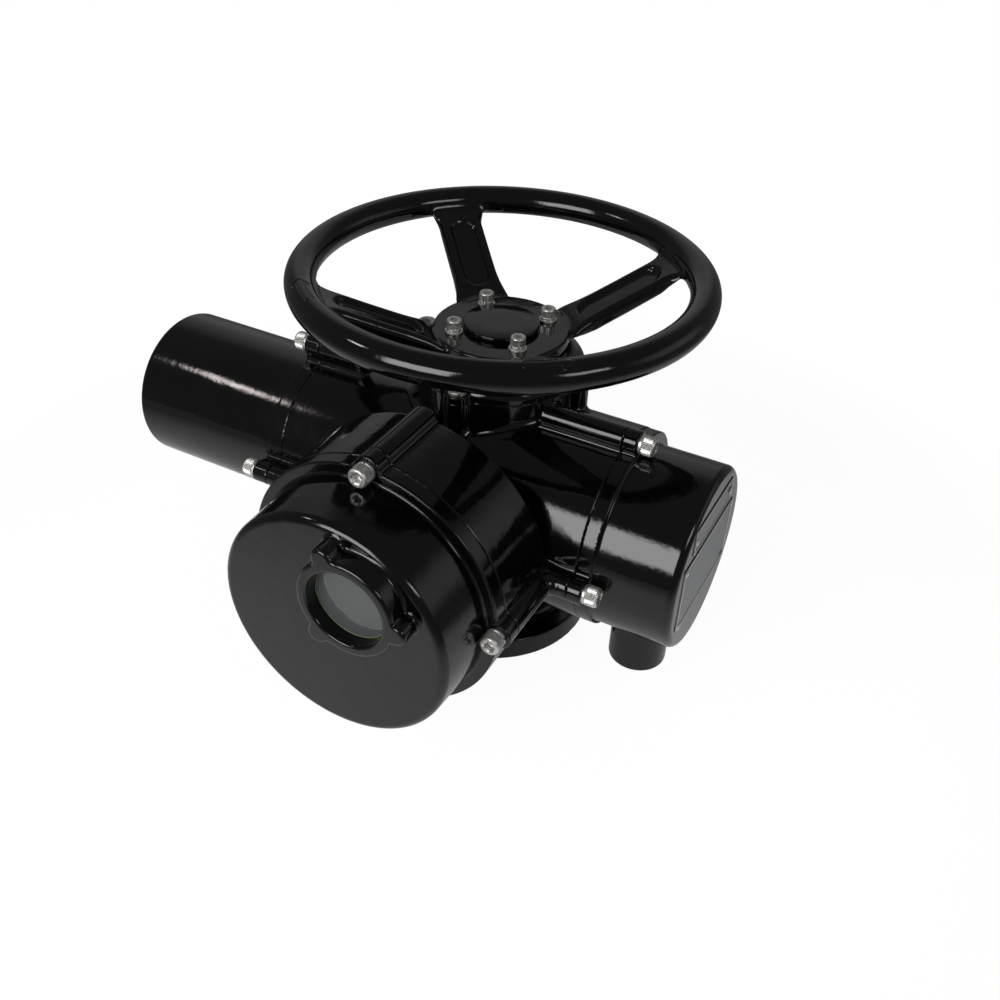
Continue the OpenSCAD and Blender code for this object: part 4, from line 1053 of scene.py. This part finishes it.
def soft_box(name, azimuth, height, distance, size, brightness, softness, colour=(1, 1, 1)):
    """A lamp panel that faces the object, with its brightness as seen in a mirror."""
    a, e = math.radians(azimuth), math.radians(height)
    way = Vector((math.cos(a) * math.cos(e), math.sin(a) * math.cos(e), math.sin(e)))
    power = brightness * math.pi * size[0] * size[1]
    area_lamp(name, LIGHT_AIM + way * distance, size, power, softness, colour)


def white_world(strength):
    """A dark studio round the object, white where the camera looks past it."""
    world = bpy.data.worlds.new("studio")
    bpy.context.scene.world = world
    world.use_nodes = True
    nodes, links = world.node_tree.nodes, world.node_tree.links
    nodes.clear()
    out = nodes.new("ShaderNodeOutputWorld")
    mix = nodes.new("ShaderNodeMixShader")
    soft = nodes.new("ShaderNodeBackground")
    soft.inputs["Color"].default_value = WHITE
    soft.inputs["Strength"].default_value = strength
    seen = nodes.new("ShaderNodeBackground")
    seen.inputs["Color"].default_value = WHITE
    path = nodes.new("ShaderNodeLightPath")
    links.new(path.outputs["Is Camera Ray"], mix.inputs["Fac"])
    links.new(soft.outputs["Background"], mix.inputs[1])
    links.new(seen.outputs["Background"], mix.inputs[2])
    links.new(mix.outputs["Shader"], out.inputs["Surface"])


def white_floor(z, half, seen_share, seen_level, glow_level):
    """A white table top that glows a little.

    The camera sees it almost white near the object, and white at its rim.
    """
    mesh = bpy.data.meshes.new("floor")
    mesh.from_pydata([(-half, -half, z), (half, -half, z), (half, half, z), (-half, half, z)],
                     [], [(0, 1, 2, 3)])
    floor = new_object("floor", mesh)
    mat, nodes, links, bsdf = new_material("floor_white")
    bsdf.inputs["Roughness"].default_value = 0.8
    bsdf.inputs["Emission Color"].default_value = WHITE
    glow = nodes.new("ShaderNodeEmission")
    glow.inputs["Strength"].default_value = seen_level
    mix = nodes.new("ShaderNodeMixShader")
    path = nodes.new("ShaderNodeLightPath")
    coord = nodes.new("ShaderNodeTexCoord")
    away = nodes.new("ShaderNodeVectorMath")
    away.operation = "LENGTH"
    links.new(coord.outputs["Object"], away.inputs[0])

    def fade(start, end, first, last):
        """From first to last between two shares of the way from the middle to the edge."""
        distance = away.outputs["Value"]
        return smooth_range(nodes, links, distance, half * start, half * end, first, last)

    # The glow dies away with the distance, so only what faces the table near by mirrors it
    links.new(fade(0.4, 0.85, glow_level, 0.0), bsdf.inputs["Emission Strength"])
    # Painted shade: the table's colour darkens from 0.86 near the middle to 0.30 towards its edge,
    # in place of the lamps' light falling off with distance
    links.new(fade(0.4, 0.85, 0.86, 0.30), bsdf.inputs["Base Color"])
    share = product(nodes, links, path.outputs["Is Camera Ray"], fade(0.45, 0.98, seen_share, 1.0))
    links.new(share, mix.inputs["Fac"])
    links.new(bsdf.outputs[0], mix.inputs[1])
    links.new(glow.outputs[0], mix.inputs[2])
    links.new(mix.outputs[0], nodes["Material Output"].inputs["Surface"])
    mesh.materials.append(mat)


# Soft boxes: direction in degrees, distance and size in metres, brightness, softness, colour
SOFT_BOXES = {
    "key_left": (-103, 23, 1.7, (1.25, 1.05), 6.4, 0.2),
    "lamp_left": (-145.5, 39, 1.7, (0.36, 0.24), 19.0, 0.5, (1.0, 0.9, 0.89)),
    "fill_right": (-18, 31, 1.8, (0.85, 0.5), 4.4, 0.25),
    "wall_right": (28, 16, 2.2, (2.6, 1.5), 0.36, 0.4),
    "wall_back": (118, 22, 2.2, (3.0, 2.5), 0.22, 0.35),
}

bpy.context.scene.view_settings.view_transform = "Standard"
add_camera()
white_world(0.12)
white_floor(-0.0005, half=0.75, seen_share=0.86, seen_level=1.07, glow_level=0.22)
for name, values in SOFT_BOXES.items():
    soft_box(name, *values)
